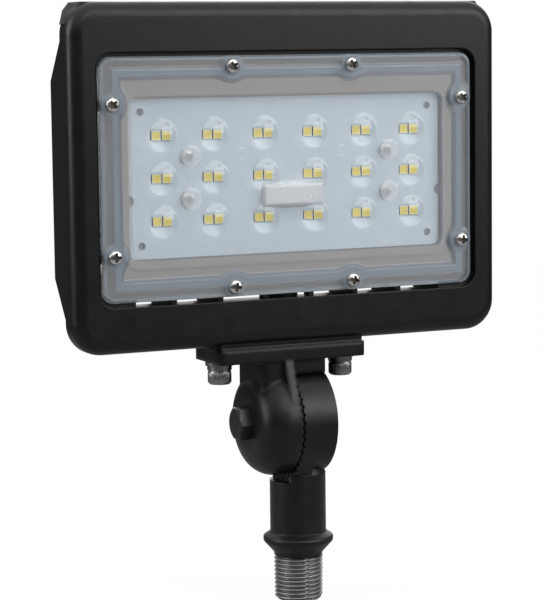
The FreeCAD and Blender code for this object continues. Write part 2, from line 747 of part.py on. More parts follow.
def make_lens_gasket():
    body = new_body("lens_gasket", HEAD)
    ring = front_sketch(body, "seal_ring", LENS_BACK)
    draw_round_box(
        ring,
        RECESS_WIDTH + " + 2 * Sizes.gasket_width",
        RECESS_HEIGHT + " + 2 * Sizes.gasket_width",
        "Sizes.lens_corner + Sizes.gasket_width",
    )
    draw_round_box(ring, RECESS_WIDTH, RECESS_HEIGHT, "Sizes.lens_corner")
    pad(body, ring, "Sizes.lens_gasket", BACKWARD)


def make_pan_screws(label, spots, seat, way, shank, head, head_height, length):
    """Pan-head screws with their heads under seat, at a depth behind the rim's face."""
    outward = FORWARD if way is BACKWARD else BACKWARD
    body = new_body(label, HEAD)
    shanks = front_sketch(body, label + "_shanks", seat)
    draw_circles(shanks, shank + " / 2", spots)
    pad(body, shanks, length, way)
    heads = front_sketch(body, label + "_heads", seat)
    draw_circles(heads, head + " / 2", spots)
    pad(body, heads, head_height, outward)
    sign = -1 if outward is FORWARD else 1
    crown = value(seat) + sign * value(head_height)
    round_edges(
        body, label + "_crown", head_height + " * Sizes.crown_share",
        lambda points: all(near(point.y, crown) for point in points),
    )


# Board, LEDs, terminal block and leads

def make_board():
    body = new_body("led_board", HEAD)
    sheet_sketch = front_sketch(body, "board", "Sizes.board_depth")
    draw_round_box(sheet_sketch, "Sizes.board_width", "Sizes.board_height", "Sizes.lens_corner / 2")
    draw_circles(sheet_sketch, "(Sizes.small_shank + Sizes.hole_room) / 2", BOARD_SCREWS)
    draw_circles(sheet_sketch, "(Sizes.lead_width + Sizes.hole_room) / 2", LEADS)
    draw_circles(sheet_sketch, "Sizes.board_hole / 2", BOARD_HOLES)
    pad(body, sheet_sketch, "Sizes.board_thickness", BACKWARD)
    notches = front_sketch(body, "board_notches", "Sizes.board_depth")
    draw_circles(notches, "Sizes.board_notch / 2", BOARD_NOTCHES)
    pocket(body, notches, "Sizes.board_thickness", BACKWARD)


def make_leds():
    body = new_body("led_packages", HEAD)
    pair = front_sketch(body, "led_pair", "Sizes.board_depth")
    first_x = "-Sizes.led_pitch_x * (Sizes.led_columns - 1) / 2"
    first_z = "-Sizes.led_pitch_z * (Sizes.led_rows - 1) / 2"
    for side in (" - ", " + "):
        draw_box(pair, "Sizes.led_size", "Sizes.led_size", first_x + side + "Sizes.led_pair / 2", first_z)
    packages = pad(body, pair, "Sizes.led_height", FORWARD)
    across = ("row", "X_Axis", "Sizes.led_pitch_x", "Sizes.led_columns")
    upward = ("row", "Z_Axis", "Sizes.led_pitch_z", "Sizes.led_rows")
    repeat(body, "led_grid", [packages], [across, upward])


def make_terminal_block():
    body = new_body("terminal_block", HEAD)
    block = front_sketch(body, "terminal", "Sizes.board_depth")
    draw_box(block, "Sizes.terminal_width", "Sizes.terminal_height", "0", "-Sizes.terminal_drop")
    pad(body, block, "Sizes.terminal_rise", FORWARD)
    entries = front_sketch(body, "lead_entries", "Sizes.board_depth")
    draw_circles(entries, "Sizes.lead_width / 2 + Sizes.thread_room", LEADS)
    pocket(body, entries, "Sizes.terminal_rise / 2", FORWARD)


def make_leads():
    body = new_body("output_leads", HEAD)
    leads = front_sketch(body, "leads", "Sizes.board_depth - Sizes.terminal_rise / 2")
    draw_circles(leads, "Sizes.lead_width / 2", LEADS)
    pad(body, leads, "%s - Sizes.board_depth + Sizes.terminal_rise / 2" % TRAY_BACK, BACKWARD)


def make_lead_grommet():
    body = new_body("lead_grommet", HEAD)
    bush = front_sketch(body, "bush", BOARD_BACK)
    draw_circle(bush, "Sizes.lead_hole / 2 - Sizes.thread_room", "0", "-Sizes.terminal_drop")
    draw_circles(bush, "Sizes.lead_width / 2 + Sizes.thread_room", LEADS)
    pad(body, bush, "Sizes.tray_floor", BACKWARD)


# Driver and its compartment's cover

def make_driver():
    body = new_body("driver_module", HEAD)
    case = front_sketch(body, "driver_case", TRAY_BACK)
    draw_round_box(case, "Sizes.driver_width", "Sizes.driver_height", "Sizes.box_wall")
    pad(body, case, "Sizes.driver_depth", BACKWARD)
    ears = front_sketch(body, "driver_ears", TRAY_BACK)
    draw_box(ears, "Sizes.driver_width + 2 * Sizes.ear_length", "Sizes.driver_height / 3")
    pad(body, ears, "Sizes.ear_thickness", BACKWARD)
    holes = front_sketch(body, "ear_holes", TRAY_BACK)
    draw_circles(holes, "(Sizes.small_shank + Sizes.hole_room) / 2", DRIVER_SCREWS)
    pocket(body, holes, "Sizes.ear_thickness", BACKWARD)


def make_cover_gasket():
    body = new_body("cover_gasket", HEAD)
    ring = front_sketch(body, "cover_seal", "Sizes.box_depth")
    draw_round_box(ring, "Sizes.box_width", "Sizes.box_height", "Sizes.box_corner")
    inset = " - 2 * (Sizes.cover_boss_inset + Sizes.cover_boss / 2)"
    draw_round_box(ring, "Sizes.box_width" + inset, "Sizes.box_height" + inset, "Sizes.box_corner / 2")
    draw_circles(ring, "(Sizes.cover_shank + Sizes.hole_room) / 2", COVER_SCREWS)
    pad(body, ring, "Sizes.cover_gasket", BACKWARD)


def make_driver_cover():
    body = new_body("driver_cover", HEAD)
    plate = front_sketch(body, "cover_plate", COVER_FRONT)
    draw_round_box(plate, "Sizes.box_width", "Sizes.box_height", "Sizes.box_corner")
    draw_circles(plate, "(Sizes.cover_shank + Sizes.hole_room) / 2", COVER_SCREWS)
    pad(body, plate, "Sizes.cover_thickness", BACKWARD)
    field = front_sketch(body, "cover_field", COVER_BACK)
    inset = " - 2 * Sizes.cover_border"
    draw_round_box(field, "Sizes.box_width" + inset, "Sizes.box_height" + inset, "Sizes.box_corner / 2")
    pad(body, field, "Sizes.cover_raise", BACKWARD)
    back = value(COVER_BACK)
    round_edges(
        body, "cover_round", "Sizes.cover_raise * Sizes.crown_share",
        lambda spots: all(near(spot.y, back + value("Sizes.cover_raise")) for spot in spots),
    )


# Knuckle halves

def cut_teeth(body, way, half_step):
    """Radial V grooves round the rim of the half disc, in the face on the given side of the parting."""
    sign = "" if way is RIGHT else "-"
    angle = "(180 / Sizes.tooth_count * %d)" % half_step
    offset = ("0", "-%s * sin(%s)" % (TOOTH_ROOT, angle), "%s * cos(%s)" % (TOOTH_ROOT, angle))
    groove = sketch_on(body, "XY_Plane", "tooth_groove", offset)
    turned = groove.AttachmentOffset
    turned.Rotation = Rotation(Vector(1, 0, 0), value(angle))
    groove.AttachmentOffset = turned
    width = "(2 * pi * %s / Sizes.tooth_count - Sizes.tooth_land)" % TOOTH_ROOT
    draw_polygon(groove, [
        (sign + FACE, "-%s / 2" % width),
        ("%s(%s + Sizes.tooth_depth)" % (sign, FACE), "0"),
        (sign + FACE, "%s / 2" % width),
    ])
    cut = pocket(body, groove, "2 * Sizes.tooth_ring", UP)
    ring = body.newObject("PartDesign::PolarPattern", "teeth")
    ring.Originals = [cut]
    ring.Axis = (origin_part(body, "X_Axis"), [""])
    ring.Angle = 360
    ring.setExpression("Occurrences", "Sizes.tooth_count")
    body.Tip = ring
    doc.recompute()


def make_upper_knuckle():
    body = new_body("upper_knuckle", KNUCKLE)

    disc = side_sketch(body, "half_disc", "-" + FACE)
    draw_circle(disc, "Sizes.disc_radius")
    pad(body, disc, "Sizes.upper_thickness", LEFT)
    end = -value(UPPER_END)
    round_edges(body, "dome", "Sizes.dome_round", lambda spots: all(near(spot.x, end) for spot in spots))

    web = side_sketch(body, "web", "-" + FACE)
    draw_polygon(web, [
        ("-Sizes.web_foot / 2", "Sizes.web_height"),
        ("Sizes.web_foot / 2", "Sizes.web_height"),
        ("Sizes.plate_width / 2", PLATE_BOTTOM),
        ("-Sizes.plate_width / 2", PLATE_BOTTOM),
    ])
    pad(body, web, "Sizes.web_thickness", LEFT)

    neck = plan_sketch(body, "neck")
    draw_polygon(neck, [
        ("-%s - Sizes.neck_thickness" % FACE, "Sizes.neck_corner - Sizes.neck_width / 2"),
        ("-%s - Sizes.neck_thickness + Sizes.neck_corner" % FACE, "-Sizes.neck_width / 2"),
        ("-" + FACE, "-Sizes.neck_width / 2"),
        ("-" + FACE, "Sizes.neck_width / 2"),
        ("-%s - Sizes.neck_thickness + Sizes.neck_corner" % FACE, "Sizes.neck_width / 2"),
        ("-%s - Sizes.neck_thickness" % FACE, "Sizes.neck_width / 2 - Sizes.neck_corner"),
    ])
    pad(body, neck, PLATE_BOTTOM, UP)

    saddle = side_sketch(body, "saddle", "-" + FACE)
    draw_box(saddle, "Sizes.saddle_width", PLATE_BOTTOM, "0", PLATE_BOTTOM + " / 2")
    pad(body, saddle, "Sizes.saddle_length + %s" % FACE, RIGHT)

    plate = plan_sketch(body, "plate", PLATE_BOTTOM)
    draw_round_box(plate, "Sizes.plate_length", "Sizes.plate_width", "Sizes.plate_corner")
    pad(body, plate, "Sizes.plate_thickness", UP)

    clear = side_sketch(body, "saddle_arc", "-" + FACE)
    draw_circle(clear, "Sizes.disc_radius + Sizes.saddle_gap")
    pocket(body, clear, "Sizes.plate_length", RIGHT)

    cut_teeth(body, LEFT, 1)

    cavity = side_sketch(body, "wire_cavity", "-" + FACE)
    draw_circle(cavity, "Sizes.cavity_radius")
    draw_circle(cavity, "Sizes.hub_radius")
    pocket(body, cavity, "Sizes.cavity_depth", LEFT)

    lift = plan_sketch(body, "wire_lift", "Sizes.hub_radius")
    draw_circle(lift, "Sizes.cavity_bore / 2", "-%s - Sizes.neck_thickness / 2" % FACE, "0")
    pocket(body, lift, "Sizes.plate_rise", UP)

    chamber = plan_sketch(body, "wire_chamber", "Sizes.plate_rise")
    draw_box(chamber, "Sizes.chamber_length", "Sizes.chamber_width")
    pocket(body, chamber, "Sizes.chamber_depth", DOWN)

    holes = plan_sketch(body, "screw_holes", "Sizes.plate_rise")
    draw_circles(holes, "(Sizes.plate_screw + Sizes.hole_room) / 2", PLATE_SCREWS)
    pocket(body, holes, "Sizes.plate_thickness", DOWN)

    bore = side_sketch(body, "bolt_bore", "-" + FACE)
    draw_circle(bore, "Sizes.bolt / 2 + Sizes.bolt_room")
    pocket(body, bore, "Sizes.upper_thickness", LEFT)


def make_lower_knuckle():
    body = new_body("lower_knuckle", KNUCKLE)

    stem_top = "(Sizes.hinge_height - Sizes.cavity_radius)"
    stem_shoulder = "(Sizes.hinge_height - Sizes.disc_radius)"
    thread = "Sizes.thread_width / 2"
    flange_top = "Sizes.flange_rise + Sizes.flange_edge"
    stem = sketch_on(body, "XZ_Plane", "stem", ("Sizes.stem_offset", "-Sizes.hinge_height", "0"))
    draw_polygon(stem, [
        ("0", "-Sizes.thread_length"),
        (thread + " - Sizes.thread_chamfer", "-Sizes.thread_length"),
        (thread, "Sizes.thread_chamfer - Sizes.thread_length"),
        (thread, "0"),
        ("Sizes.flange_width / 2", "Sizes.flange_rise"),
        ("Sizes.flange_width / 2", flange_top),
        ("Sizes.stem_width / 2", flange_top + " + Sizes.flange_edge"),
        ("Sizes.stem_width / 2", stem_shoulder),
        (LOWER_END + " - Sizes.stem_offset", stem_top),
        ("0", stem_top),
    ])
    revolve(body, stem, "V_Axis")
    edges = [value(level + " - Sizes.hinge_height") for level in ("Sizes.flange_rise", flange_top)]
    round_edges(
        body, "flange_round", "Sizes.flange_round",
        lambda spots: any(all(near(spot.z, level) for spot in spots) for level in edges),
    )

    flat_y = "(Sizes.stem_width - Sizes.stem_flat) / 2"
    flats_bottom = "%s + Sizes.flange_edge - Sizes.hinge_height" % flange_top
    flats = plan_sketch(body, "stem_flats", flats_bottom)
    for side in ("", "-"):
        draw_box(flats, "Sizes.stem_width / 2", "Sizes.stem_flat", "Sizes.stem_offset", side + flat_y)
    pocket(body, flats, stem_shoulder + " - Sizes.hinge_height - (%s)" % flats_bottom, UP)

    disc = side_sketch(body, "half_disc", FACE)
    draw_circle(disc, "Sizes.disc_radius")
    pad(body, disc, "Sizes.lower_thickness", RIGHT)

    foot_y = "Sizes.disc_radius * cos(Sizes.web_angle)"
    foot_z = "Sizes.disc_radius * sin(Sizes.web_angle)"
    run = "(%s - Sizes.stem_width / 2) / tan(Sizes.web_angle)" % foot_y
    web = side_sketch(body, "web", FACE)
    draw_polygon(web, [
        (foot_y, "-" + foot_z),
        ("-" + foot_y, "-" + foot_z),
        ("-Sizes.stem_width / 2", "-%s - %s" % (foot_z, run)),
        ("Sizes.stem_width / 2", "-%s - %s" % (foot_z, run)),
    ])
    pad(body, web, "Sizes.stem_web", RIGHT)

    shelf = plan_sketch(body, "shelf", "-Sizes.shelf_drop")
    draw_box(shelf, "Sizes.stem_width", "2 * Sizes.disc_radius", "%s - Sizes.stem_width / 2" % FACE, "0")
    pocket(body, shelf, "Sizes.shelf_drop", UP)

    cut_teeth(body, RIGHT, 0)

    seat = side_sketch(body, "seal_seat", FACE)
    draw_circle(seat, TOOTH_ROOT)
    draw_circle(seat, "Sizes.hub_radius")
    pocket(body, seat, "Sizes.seal_thickness", RIGHT)

    cavity = side_sketch(body, "wire_cavity", FACE)
    draw_circle(cavity, "Sizes.cavity_radius")
    draw_circle(cavity, "Sizes.hub_radius")
    pocket(body, cavity, "Sizes.cavity_depth", RIGHT)

    end = plan_sketch(body, "stem_bore", "-(Sizes.hinge_height + Sizes.thread_length)")
    draw_circle(end, "Sizes.stem_bore / 2", "Sizes.stem_offset", "0")
    pocket(body, end, "Sizes.thread_length + Sizes.stem_bore_top", UP)

    rise = plan_sketch(body, "cavity_bore", "Sizes.stem_bore_top - Sizes.hinge_height")
    draw_circle(rise, "Sizes.cavity_bore / 2", "Sizes.stem_offset", "0")
    cavity_middle = "(Sizes.hub_radius + Sizes.cavity_radius) / 2"
    pocket(body, rise, "Sizes.hinge_height - Sizes.stem_bore_top - " + cavity_middle, UP)

    bore = side_sketch(body, "bolt_bore", FACE)
    draw_circle(bore, "Sizes.bolt / 2 + Sizes.bolt_room")
    pocket(body, bore, "Sizes.lower_thickness", RIGHT)

    nut = side_sketch(body, "nut_pocket", LOWER_END)
    draw_hexagon(nut, "Sizes.bolt_flats + 2 * Sizes.nut_room")
    pocket(body, nut, "Sizes.nut_pocket", LEFT)


def make_knuckle_seal():
    body = new_body("knuckle_seal", KNUCKLE)
    ring = side_sketch(body, "seal", FACE)
    draw_circle(ring, TOOTH_ROOT + " - Sizes.thread_room")
    draw_circle(ring, "Sizes.cavity_radius")
    pad(body, ring, "Sizes.seal_thickness", RIGHT)


def make_bolt():
    body = new_body("knuckle_bolt", KNUCKLE)
    head = side_sketch(body, "bolt_head", "-" + UPPER_END)
    draw_hexagon(head, "Sizes.bolt_flats")
    pad(body, head, "Sizes.bolt_head_height", LEFT)
    shank = side_sketch(body, "bolt_shank", "-" + UPPER_END)
    draw_circle(shank, "Sizes.bolt / 2")
    nut_end = "%s - Sizes.nut_pocket + Sizes.nut_height" % LOWER_END
    pad(body, shank, "%s + %s + Sizes.bolt_end" % (UPPER_END, nut_end), RIGHT)


def make_nut():
    body = new_body("knuckle_nut", KNUCKLE)
    nut = side_sketch(body, "nut", "%s - Sizes.nut_pocket" % LOWER_END)
    draw_hexagon(nut, "Sizes.bolt_flats")
    draw_circle(nut, "Sizes.bolt / 2 + Sizes.thread_room")
    pad(body, nut, "Sizes.nut_height", RIGHT)


# Plate gasket, screws and washers

def make_mounting_gasket():
    body = new_body("mounting_gasket", KNUCKLE)
    outline = plan_sketch(body, "gasket", "Sizes.plate_rise")
    draw_box(outline, PAD_LENGTH, PAD_WIDTH)
    draw_circle(outline, "Sizes.wire_bore / 2")
    draw_circles(outline, "(Sizes.plate_screw + Sizes.hole_room) / 2", PLATE_SCREWS)
    pad(body, outline, "Sizes.plate_gasket", UP)


def make_plate_screws():
    body = new_body("plate_screws", KNUCKLE)
    shanks = plan_sketch(body, "screw_shanks", SCREW_SEAT)
    draw_circles(shanks, "Sizes.plate_screw / 2", PLATE_SCREWS)
    pad(body, shanks, "%s - %s" % (SCREW_TOP, SCREW_SEAT), UP)
    heads = plan_sketch(body, "screw_heads", SCREW_SEAT)
    draw_circles(heads, "Sizes.plate_screw_head / 2", PLATE_SCREWS)
    pad(body, heads, "Sizes.plate_screw_head_height", DOWN)
    sockets = plan_sketch(body, "screw_sockets", SCREW_SEAT + " - Sizes.plate_screw_head_height")
    for x, y in PLATE_SCREWS:
        draw_hexagon(sockets, "Sizes.plate_screw_socket", x, y)
    pocket(body, sockets, "Sizes.plate_screw_head_height / 2", UP)


def make_washers(label, bottom, width, height):
    body = new_body(label, KNUCKLE)
    rings = plan_sketch(body, label + "_rings", bottom)
    draw_circles(rings, width + " / 2", PLATE_SCREWS)
    draw_circles(rings, "(Sizes.plate_screw + Sizes.hole_room) / 2", PLATE_SCREWS)
    pad(body, rings, height, UP)
    return body


def make_spring_washers():
    body = make_washers("spring_washers", SCREW_SEAT, "Sizes.spring_washer", "Sizes.spring_washer_height")
    split = plan_sketch(body, "washer_split", SCREW_SEAT)
    for x, y in PLATE_SCREWS:
        draw_box(split, "Sizes.washer_split", "Sizes.spring_washer", x, "Sizes.spring_washer / 2")
    pocket(body, split, "Sizes.spring_washer_height", UP)


make_housing()
make_lens()
make_lens_gasket()
SMALL = ("Sizes.small_shank", "Sizes.small_head", "Sizes.small_head_height")
COVER = ("Sizes.cover_shank", "Sizes.cover_head", "Sizes.cover_head_height")
LENS_SEAT = "Sizes.lens_setback - Sizes.rib_height"
EAR_BACK = TRAY_BACK + " + Sizes.ear_thickness"
SHORT = "Sizes.board_screw_length"
make_pan_screws("lens_screws", LENS_SCREWS, LENS_SEAT, BACKWARD, *SMALL, "Sizes.small_length")
make_pan_screws("board_screws", BOARD_SCREWS, "Sizes.board_depth", BACKWARD, *SMALL, SHORT)
make_pan_screws("driver_screws", DRIVER_SCREWS, EAR_BACK, FORWARD, *SMALL, SHORT)
make_pan_screws("cover_screws", COVER_SCREWS, COVER_BACK, FORWARD, *COVER, "Sizes.cover_screw_length")
make_board()
make_leds()
make_terminal_block()
make_leads()
make_lead_grommet()
make_driver()
make_cover_gasket()
make_driver_cover()
make_upper_knuckle()
make_lower_knuckle()
make_knuckle_seal()
make_bolt()
make_nut()
make_mounting_gasket()
make_plate_screws()
make_washers("flat_washers", WASHER_BOTTOM, "Sizes.flat_washer", "Sizes.flat_washer_height")
make_spring_washers()
doc.recompute()

# Every object has to be sound before any file is written

for item in doc.Objects:
    if "Invalid" in item.State or "Error" in item.State:
        raise ValueError("%s is not sound: %s" % (item.Label, item.State))

bodies = [item for item in doc.Objects if item.TypeId == "PartDesign::Body"]
for body in bodies:
    if body.Shape.isNull() or not body.Shape.isValid():
        raise ValueError("%s has no valid shape" % body.Label)

os.makedirs("parts", exist_ok=True)
for body in bodies:
    body.Shape.exportStep("parts/%s.step" % body.Label)
    print("%s: %d solids, %.0f mm3" % (body.Label, len(body.Shape.Solids), body.Shape.Volume))
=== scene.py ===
import json
import math

import bmesh
import bpy
from mathutils import Matrix, Vector


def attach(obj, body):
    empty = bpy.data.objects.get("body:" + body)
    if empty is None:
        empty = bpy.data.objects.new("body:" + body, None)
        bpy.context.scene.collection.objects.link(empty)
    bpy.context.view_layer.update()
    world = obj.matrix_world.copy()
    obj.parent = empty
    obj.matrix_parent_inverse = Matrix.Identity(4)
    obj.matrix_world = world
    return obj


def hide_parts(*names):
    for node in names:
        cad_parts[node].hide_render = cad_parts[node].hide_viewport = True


# LED flood light on a threaded knuckle, in the part's own frame: +Z up, the lens faces -Y.
# Shapes are worked out in millimetres and turned into metres where a mesh is made.
# Lamps, and the grain and edges of materials, are in metres.

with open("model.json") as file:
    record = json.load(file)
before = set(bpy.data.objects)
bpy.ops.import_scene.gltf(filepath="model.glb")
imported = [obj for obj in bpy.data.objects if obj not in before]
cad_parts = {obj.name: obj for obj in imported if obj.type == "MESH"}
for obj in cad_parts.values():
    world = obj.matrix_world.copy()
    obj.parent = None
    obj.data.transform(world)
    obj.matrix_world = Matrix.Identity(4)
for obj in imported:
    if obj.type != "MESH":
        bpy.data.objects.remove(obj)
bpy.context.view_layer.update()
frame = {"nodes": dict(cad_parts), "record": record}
nodes = frame["nodes"]
record = frame["record"]
MM = 0.001

BODY_OF = {node: body for body, names in record["behaviour"]["bodies"].items() for node in names}
SLOT_OF = {part["node"]: part["material_slot"] for part in record["subparts"]}

# Node-graph helpers


def new_tree(name):
    """An empty material, its node tree and its output."""
    material = bpy.data.materials.new(name)
    material.use_nodes = True
    tree = material.node_tree
    tree.nodes.clear()
    return material, tree, tree.nodes.new("ShaderNodeOutputMaterial")


def add(tree, kind, inputs=None, **settings):
    """A node with its settings and inputs: an input is a plain value or another node's output."""
    node = tree.nodes.new("ShaderNode" + kind)
    for key, setting in settings.items():
        setattr(node, key, setting)
    for key, given in (inputs or {}).items():
        if isinstance(given, bpy.types.NodeSocket):
            tree.links.new(given, node.inputs[key])
        else:
            node.inputs[key].default_value = given
    return node


def noise(tree, place, scale):
    """A noise value, its scale in lumps per metre."""
    values = {"Vector": place, "Scale": scale, "Detail": 3.0, "Roughness": 0.5}
    return add(tree, "TexNoise", values).outputs["Fac"]


def spread(tree, fac, low, high, start=0.3, end=0.7):
    """Maps start..end of a value onto low..high."""
    values = {"Value": fac, "From Min": start, "From Max": end, "To Min": low, "To Max": high}
    return add(tree, "MapRange", values).outputs["Result"]


def blend_colours(tree, fac, first, second):
    """A colour between two, by a value."""
    mix = add(tree, "Mix", data_type="RGBA")
    tree.links.new(fac, mix.inputs["Factor"])
    for key, colour in (("A", first), ("B", second)):
        socket = next(s for s in mix.inputs if s.name == key and s.type == "RGBA")
        socket.default_value = (*colour, 1)
    return next(s for s in mix.outputs if s.type == "RGBA")


def math_node(tree, operation, *values):
    """The result of a sum done on plain values and other nodes' outputs."""
    return add(tree, "Math", dict(enumerate(values)), operation=operation).outputs[0]


def bump(tree, height, depth, normal=None):
    """A normal bent by a height, on top of another normal if there is one."""
    values = {"Height": height, "Distance": depth}
    if normal:
        values["Normal"] = normal
    return add(tree, "Bump", values).outputs["Normal"]


def within(tree, value, low, high, soft):
    """1 where a value lies between low and high, with soft ends."""
    rise = spread(tree, value, 0.0, 1.0, low - soft, low + soft)
    fall = spread(tree, value, 1.0, 0.0, high - soft, high + soft)
    return math_node(tree, "MULTIPLY", rise, fall)


ROUGH_LUMPS = 3.1
EDGE_SAMPLES = 6


def rough_shader(tree, first, second, rough, lumps, grain=None, sockets=None, edge=0.0):
    """A surface whose colour and roughness drift between two values, with a fine grain.

    rough is (low, high), lumps the drift's scale, grain (scale, depth) of the bump, edge the
    rounding of sharp corners."""
    place = add(tree, "TexCoord").outputs["Object"]
    drift = noise(tree, place, lumps)
    shader = add(tree, "BsdfPrincipled", sockets)
    tree.links.new(blend_colours(tree, drift, first, second), shader.inputs["Base Color"])
    patches = noise(tree, place, ROUGH_LUMPS * lumps)
    tree.links.new(spread(tree, patches, *rough), shader.inputs["Roughness"])
    corner = None
    if edge:
        corner = add(tree, "Bevel", {"Radius": edge}, samples=EDGE_SAMPLES).outputs["Normal"]
    if grain:
        scale, depth = grain
        tree.links.new(bump(tree, noise(tree, place, scale), depth, corner), shader.inputs["Normal"])
    elif corner:
        tree.links.new(corner, shader.inputs["Normal"])
    return shader.outputs[0]


def rough_surface(name, *look, **more):
    """A material of one such surface."""
    material, tree, out = new_tree(name)
    tree.links.new(rough_shader(tree, *look, **more), out.inputs["Surface"])
    return material


# Places and sizes


def node_box(name):
    """The far corners of a CAD node, in millimetres."""
    corners = [nodes[name].matrix_world @ Vector(corner) / MM for corner in nodes[name].bound_box]
    low = Vector([min(corner[i] for corner in corners) for i in range(3)])
    high = Vector([max(corner[i] for corner in corners) for i in range(3)])
    return low, high


lens_low, lens_high = node_box("lens")
LENS_HALF_X = (lens_high.x - lens_low.x) / 2
LENS_HALF_Z = (lens_high.z - lens_low.z) / 2
LENS_X = (lens_low.x + lens_high.x) / 2
LENS_Z = (lens_low.z + lens_high.z) / 2
LENS_BACK = lens_high.y
LENS_THICK = 2.5
LENS_FACE = LENS_BACK - LENS_THICK
LENS_CORNER = 5.0

BOARD_FRONT = node_box("led_board")[0].y
LED_COLUMNS = 6
LED_ROWS = 3
LED_PITCH_X = 22.8
LED_PITCH_Z = 17.45
LED_PAIR = 3.45
LED_SIZE = 3.0
LED_HEIGHT = 0.55


def at_corners(x, z):
    """A place and its mirror images in the other three corners."""
    return [(x, z), (x, -z), (-x, z), (-x, -z)]


LENS_SCREW_SPOTS = at_corners(27.2, 45.3) + at_corners(79.9, 30.6)
BOARD_SCREW_SPOTS = at_corners(45.6, 8.72)
HOOD_HALF = (14.0, 4.8)
HOOD_DROP = 8.35

# Materials

PAINT = {
    "first": (0.0028, 0.0028, 0.0032),
    "second": (0.0048, 0.0048, 0.0054),
    "rough": (0.33, 0.42),
    "lumps": 45,
    "grain": (1500, 0.00004),
    "sockets": {"Specular IOR Level": 0.32},
    "edge": 0.0007,
}
BARE = {
    "first": (0.22, 0.217, 0.212),
    "second": (0.38, 0.375, 0.37),
    "rough": (0.36, 0.55),
    "lumps": 160,
    "grain": (900, 0.00004),
    "sockets": {"Metallic": 1.0},
}
black_casting = rough_surface("black_powder_coat", **PAINT)
soft_casting = rough_surface("black_soft_edges", **dict(PAINT, edge=0.0025))


def painted_but(name, bare, where):
    """Powder coat, left off where a mask made from the object's own coordinates says."""
    material, tree, out = new_tree(name)
    place = add(tree, "SeparateXYZ", {0: add(tree, "TexCoord").outputs["Object"]})
    share = where(tree, place)
    paint = rough_shader(tree, **PAINT)
    metal = rough_shader(tree, **bare)
    mix = add(tree, "MixShader", {0: share, 1: paint, 2: metal})
    tree.links.new(mix.outputs[0], out.inputs["Surface"])
    return material


TRAY_HALF_X = 84.4
TRAY_HALF_Z = 48.9
TRAY_START = 0.6
TRAY_END = 4.8
TRAY_SOFT = 0.2


def in_tray(tree, place):
    """The tray's front, under the lens."""
    limits = {
        "X": (LENS_X - TRAY_HALF_X, LENS_X + TRAY_HALF_X),
        "Z": (LENS_Z - TRAY_HALF_Z, LENS_Z + TRAY_HALF_Z),
        "Y": (LENS_BACK + TRAY_START, LENS_BACK + TRAY_END),
    }
    across, upward, deep = (
        within(tree, place.outputs[axis], MM * low, MM * high, MM * TRAY_SOFT)
        for axis, (low, high) in limits.items()
    )
    return math_node(tree, "MULTIPLY", math_node(tree, "MULTIPLY", across, upward), deep)


TRAY = {
    "first": (0.30, 0.29, 0.285),
    "second": (0.36, 0.35, 0.345),
    "rough": (0.45, 0.6),
    "lumps": 60,
    "grain": (900, 0.00003),
    "sockets": {"Metallic": 0.25},
}
housing_finish = painted_but("coat_and_bare_tray", TRAY, in_tray)

NICKEL = {
    "first": (0.62, 0.60, 0.57),
    "second": (0.74, 0.72, 0.69),
    "rough": (0.18, 0.30),
    "lumps": 300,
    "grain": (2500, 0.000004),
    "sockets": {"Metallic": 1.0},
}
# Painted shade: the near-black colour of the cross recess stands in for the shade that falls in it.
PAINTED_RECESS_SHADE = {
    "first": (0.025, 0.022, 0.02),
    "second": (0.05, 0.045, 0.04),
    "rough": (0.5, 0.6),
    "lumps": 300,
}


def make_screw_steel():
    """Bright steel, with painted shade down in the recess that the mesh marks."""
    material, tree, out = new_tree("nickel_screws")
    deep = add(tree, "Attribute", attribute_name="recess").outputs["Fac"]
    bright = rough_shader(tree, **NICKEL)
    recess_shade = rough_shader(tree, **PAINTED_RECESS_SHADE)
    mix = add(tree, "MixShader", {0: deep, 1: bright, 2: recess_shade})
    tree.links.new(mix.outputs[0], out.inputs["Surface"])
    return material


bright_steel = make_screw_steel()
zinc_steel = rough_surface(
    "zinc_screws", (0.13, 0.127, 0.12), (0.42, 0.41, 0.39), (0.24, 0.42), 420, (1200, 0.00003),
    {"Metallic": 1.0}, edge=0.0003,
)
black_steel = rough_surface(
    "blackened_steel", (0.018, 0.018, 0.02), (0.04, 0.04, 0.043), (0.24, 0.38), 160, (1400, 0.00003),
    {"Metallic": 0.6}, edge=0.0003,
)
seal_rubber = rough_surface(
    "seal_rubber", (0.02, 0.02, 0.02), (0.03, 0.03, 0.03), (0.6, 0.75), 90, (1200, 0.00004)
)
pale_silicone = rough_surface(
    "pale_silicone", (0.36, 0.35, 0.345), (0.40, 0.39, 0.385), (0.5, 0.6), 90, (1200, 0.00003)
)
board_white = rough_surface(
    "white_board", (0.575, 0.62, 0.665), (0.625, 0.665, 0.705), (0.35, 0.45), 60, (1800, 0.00001)
)
# Painted shade: the LEDs' near-black sides stand in for the shade at each package's side and foot.
package_side_shade = rough_surface("led_side", (0.07, 0.062, 0.05), (0.11, 0.10, 0.085), (0.4, 0.5), 700)
package_cream = rough_surface("led_package", (0.84, 0.80, 0.66), (0.9, 0.87, 0.76), (0.3, 0.4), 700)
phosphor_yellow = rough_surface(
    "led_phosphor", (0.74, 0.58, 0.13), (0.82, 0.67, 0.20), (0.4, 0.5), 600, (3000, 0.00001)
)
white_plastic = rough_surface(
    "white_plastic", (0.80, 0.78, 0.74), (0.86, 0.84, 0.80), (0.38, 0.46), 120, (1500, 0.00001)
)
red_lead = rough_surface("lead_sleeve", (0.45, 0.02, 0.02), (0.55, 0.03, 0.03), (0.4, 0.5), 200)
driver_case = rough_surface(
    "driver_case", (0.55, 0.55, 0.54), (0.66, 0.66, 0.65), (0.35, 0.45), 120, (900, 0.00004)
)

LENS_TINT = (0.94, 0.968, 0.985, 1)
LENS_IOR = 1.49
FROST_LUMPS = 220
FROST_DRIFT = (0.85, 1.15)
RIPPLE_LUMPS = 90
RIPPLE_DEPTH = 0.00004


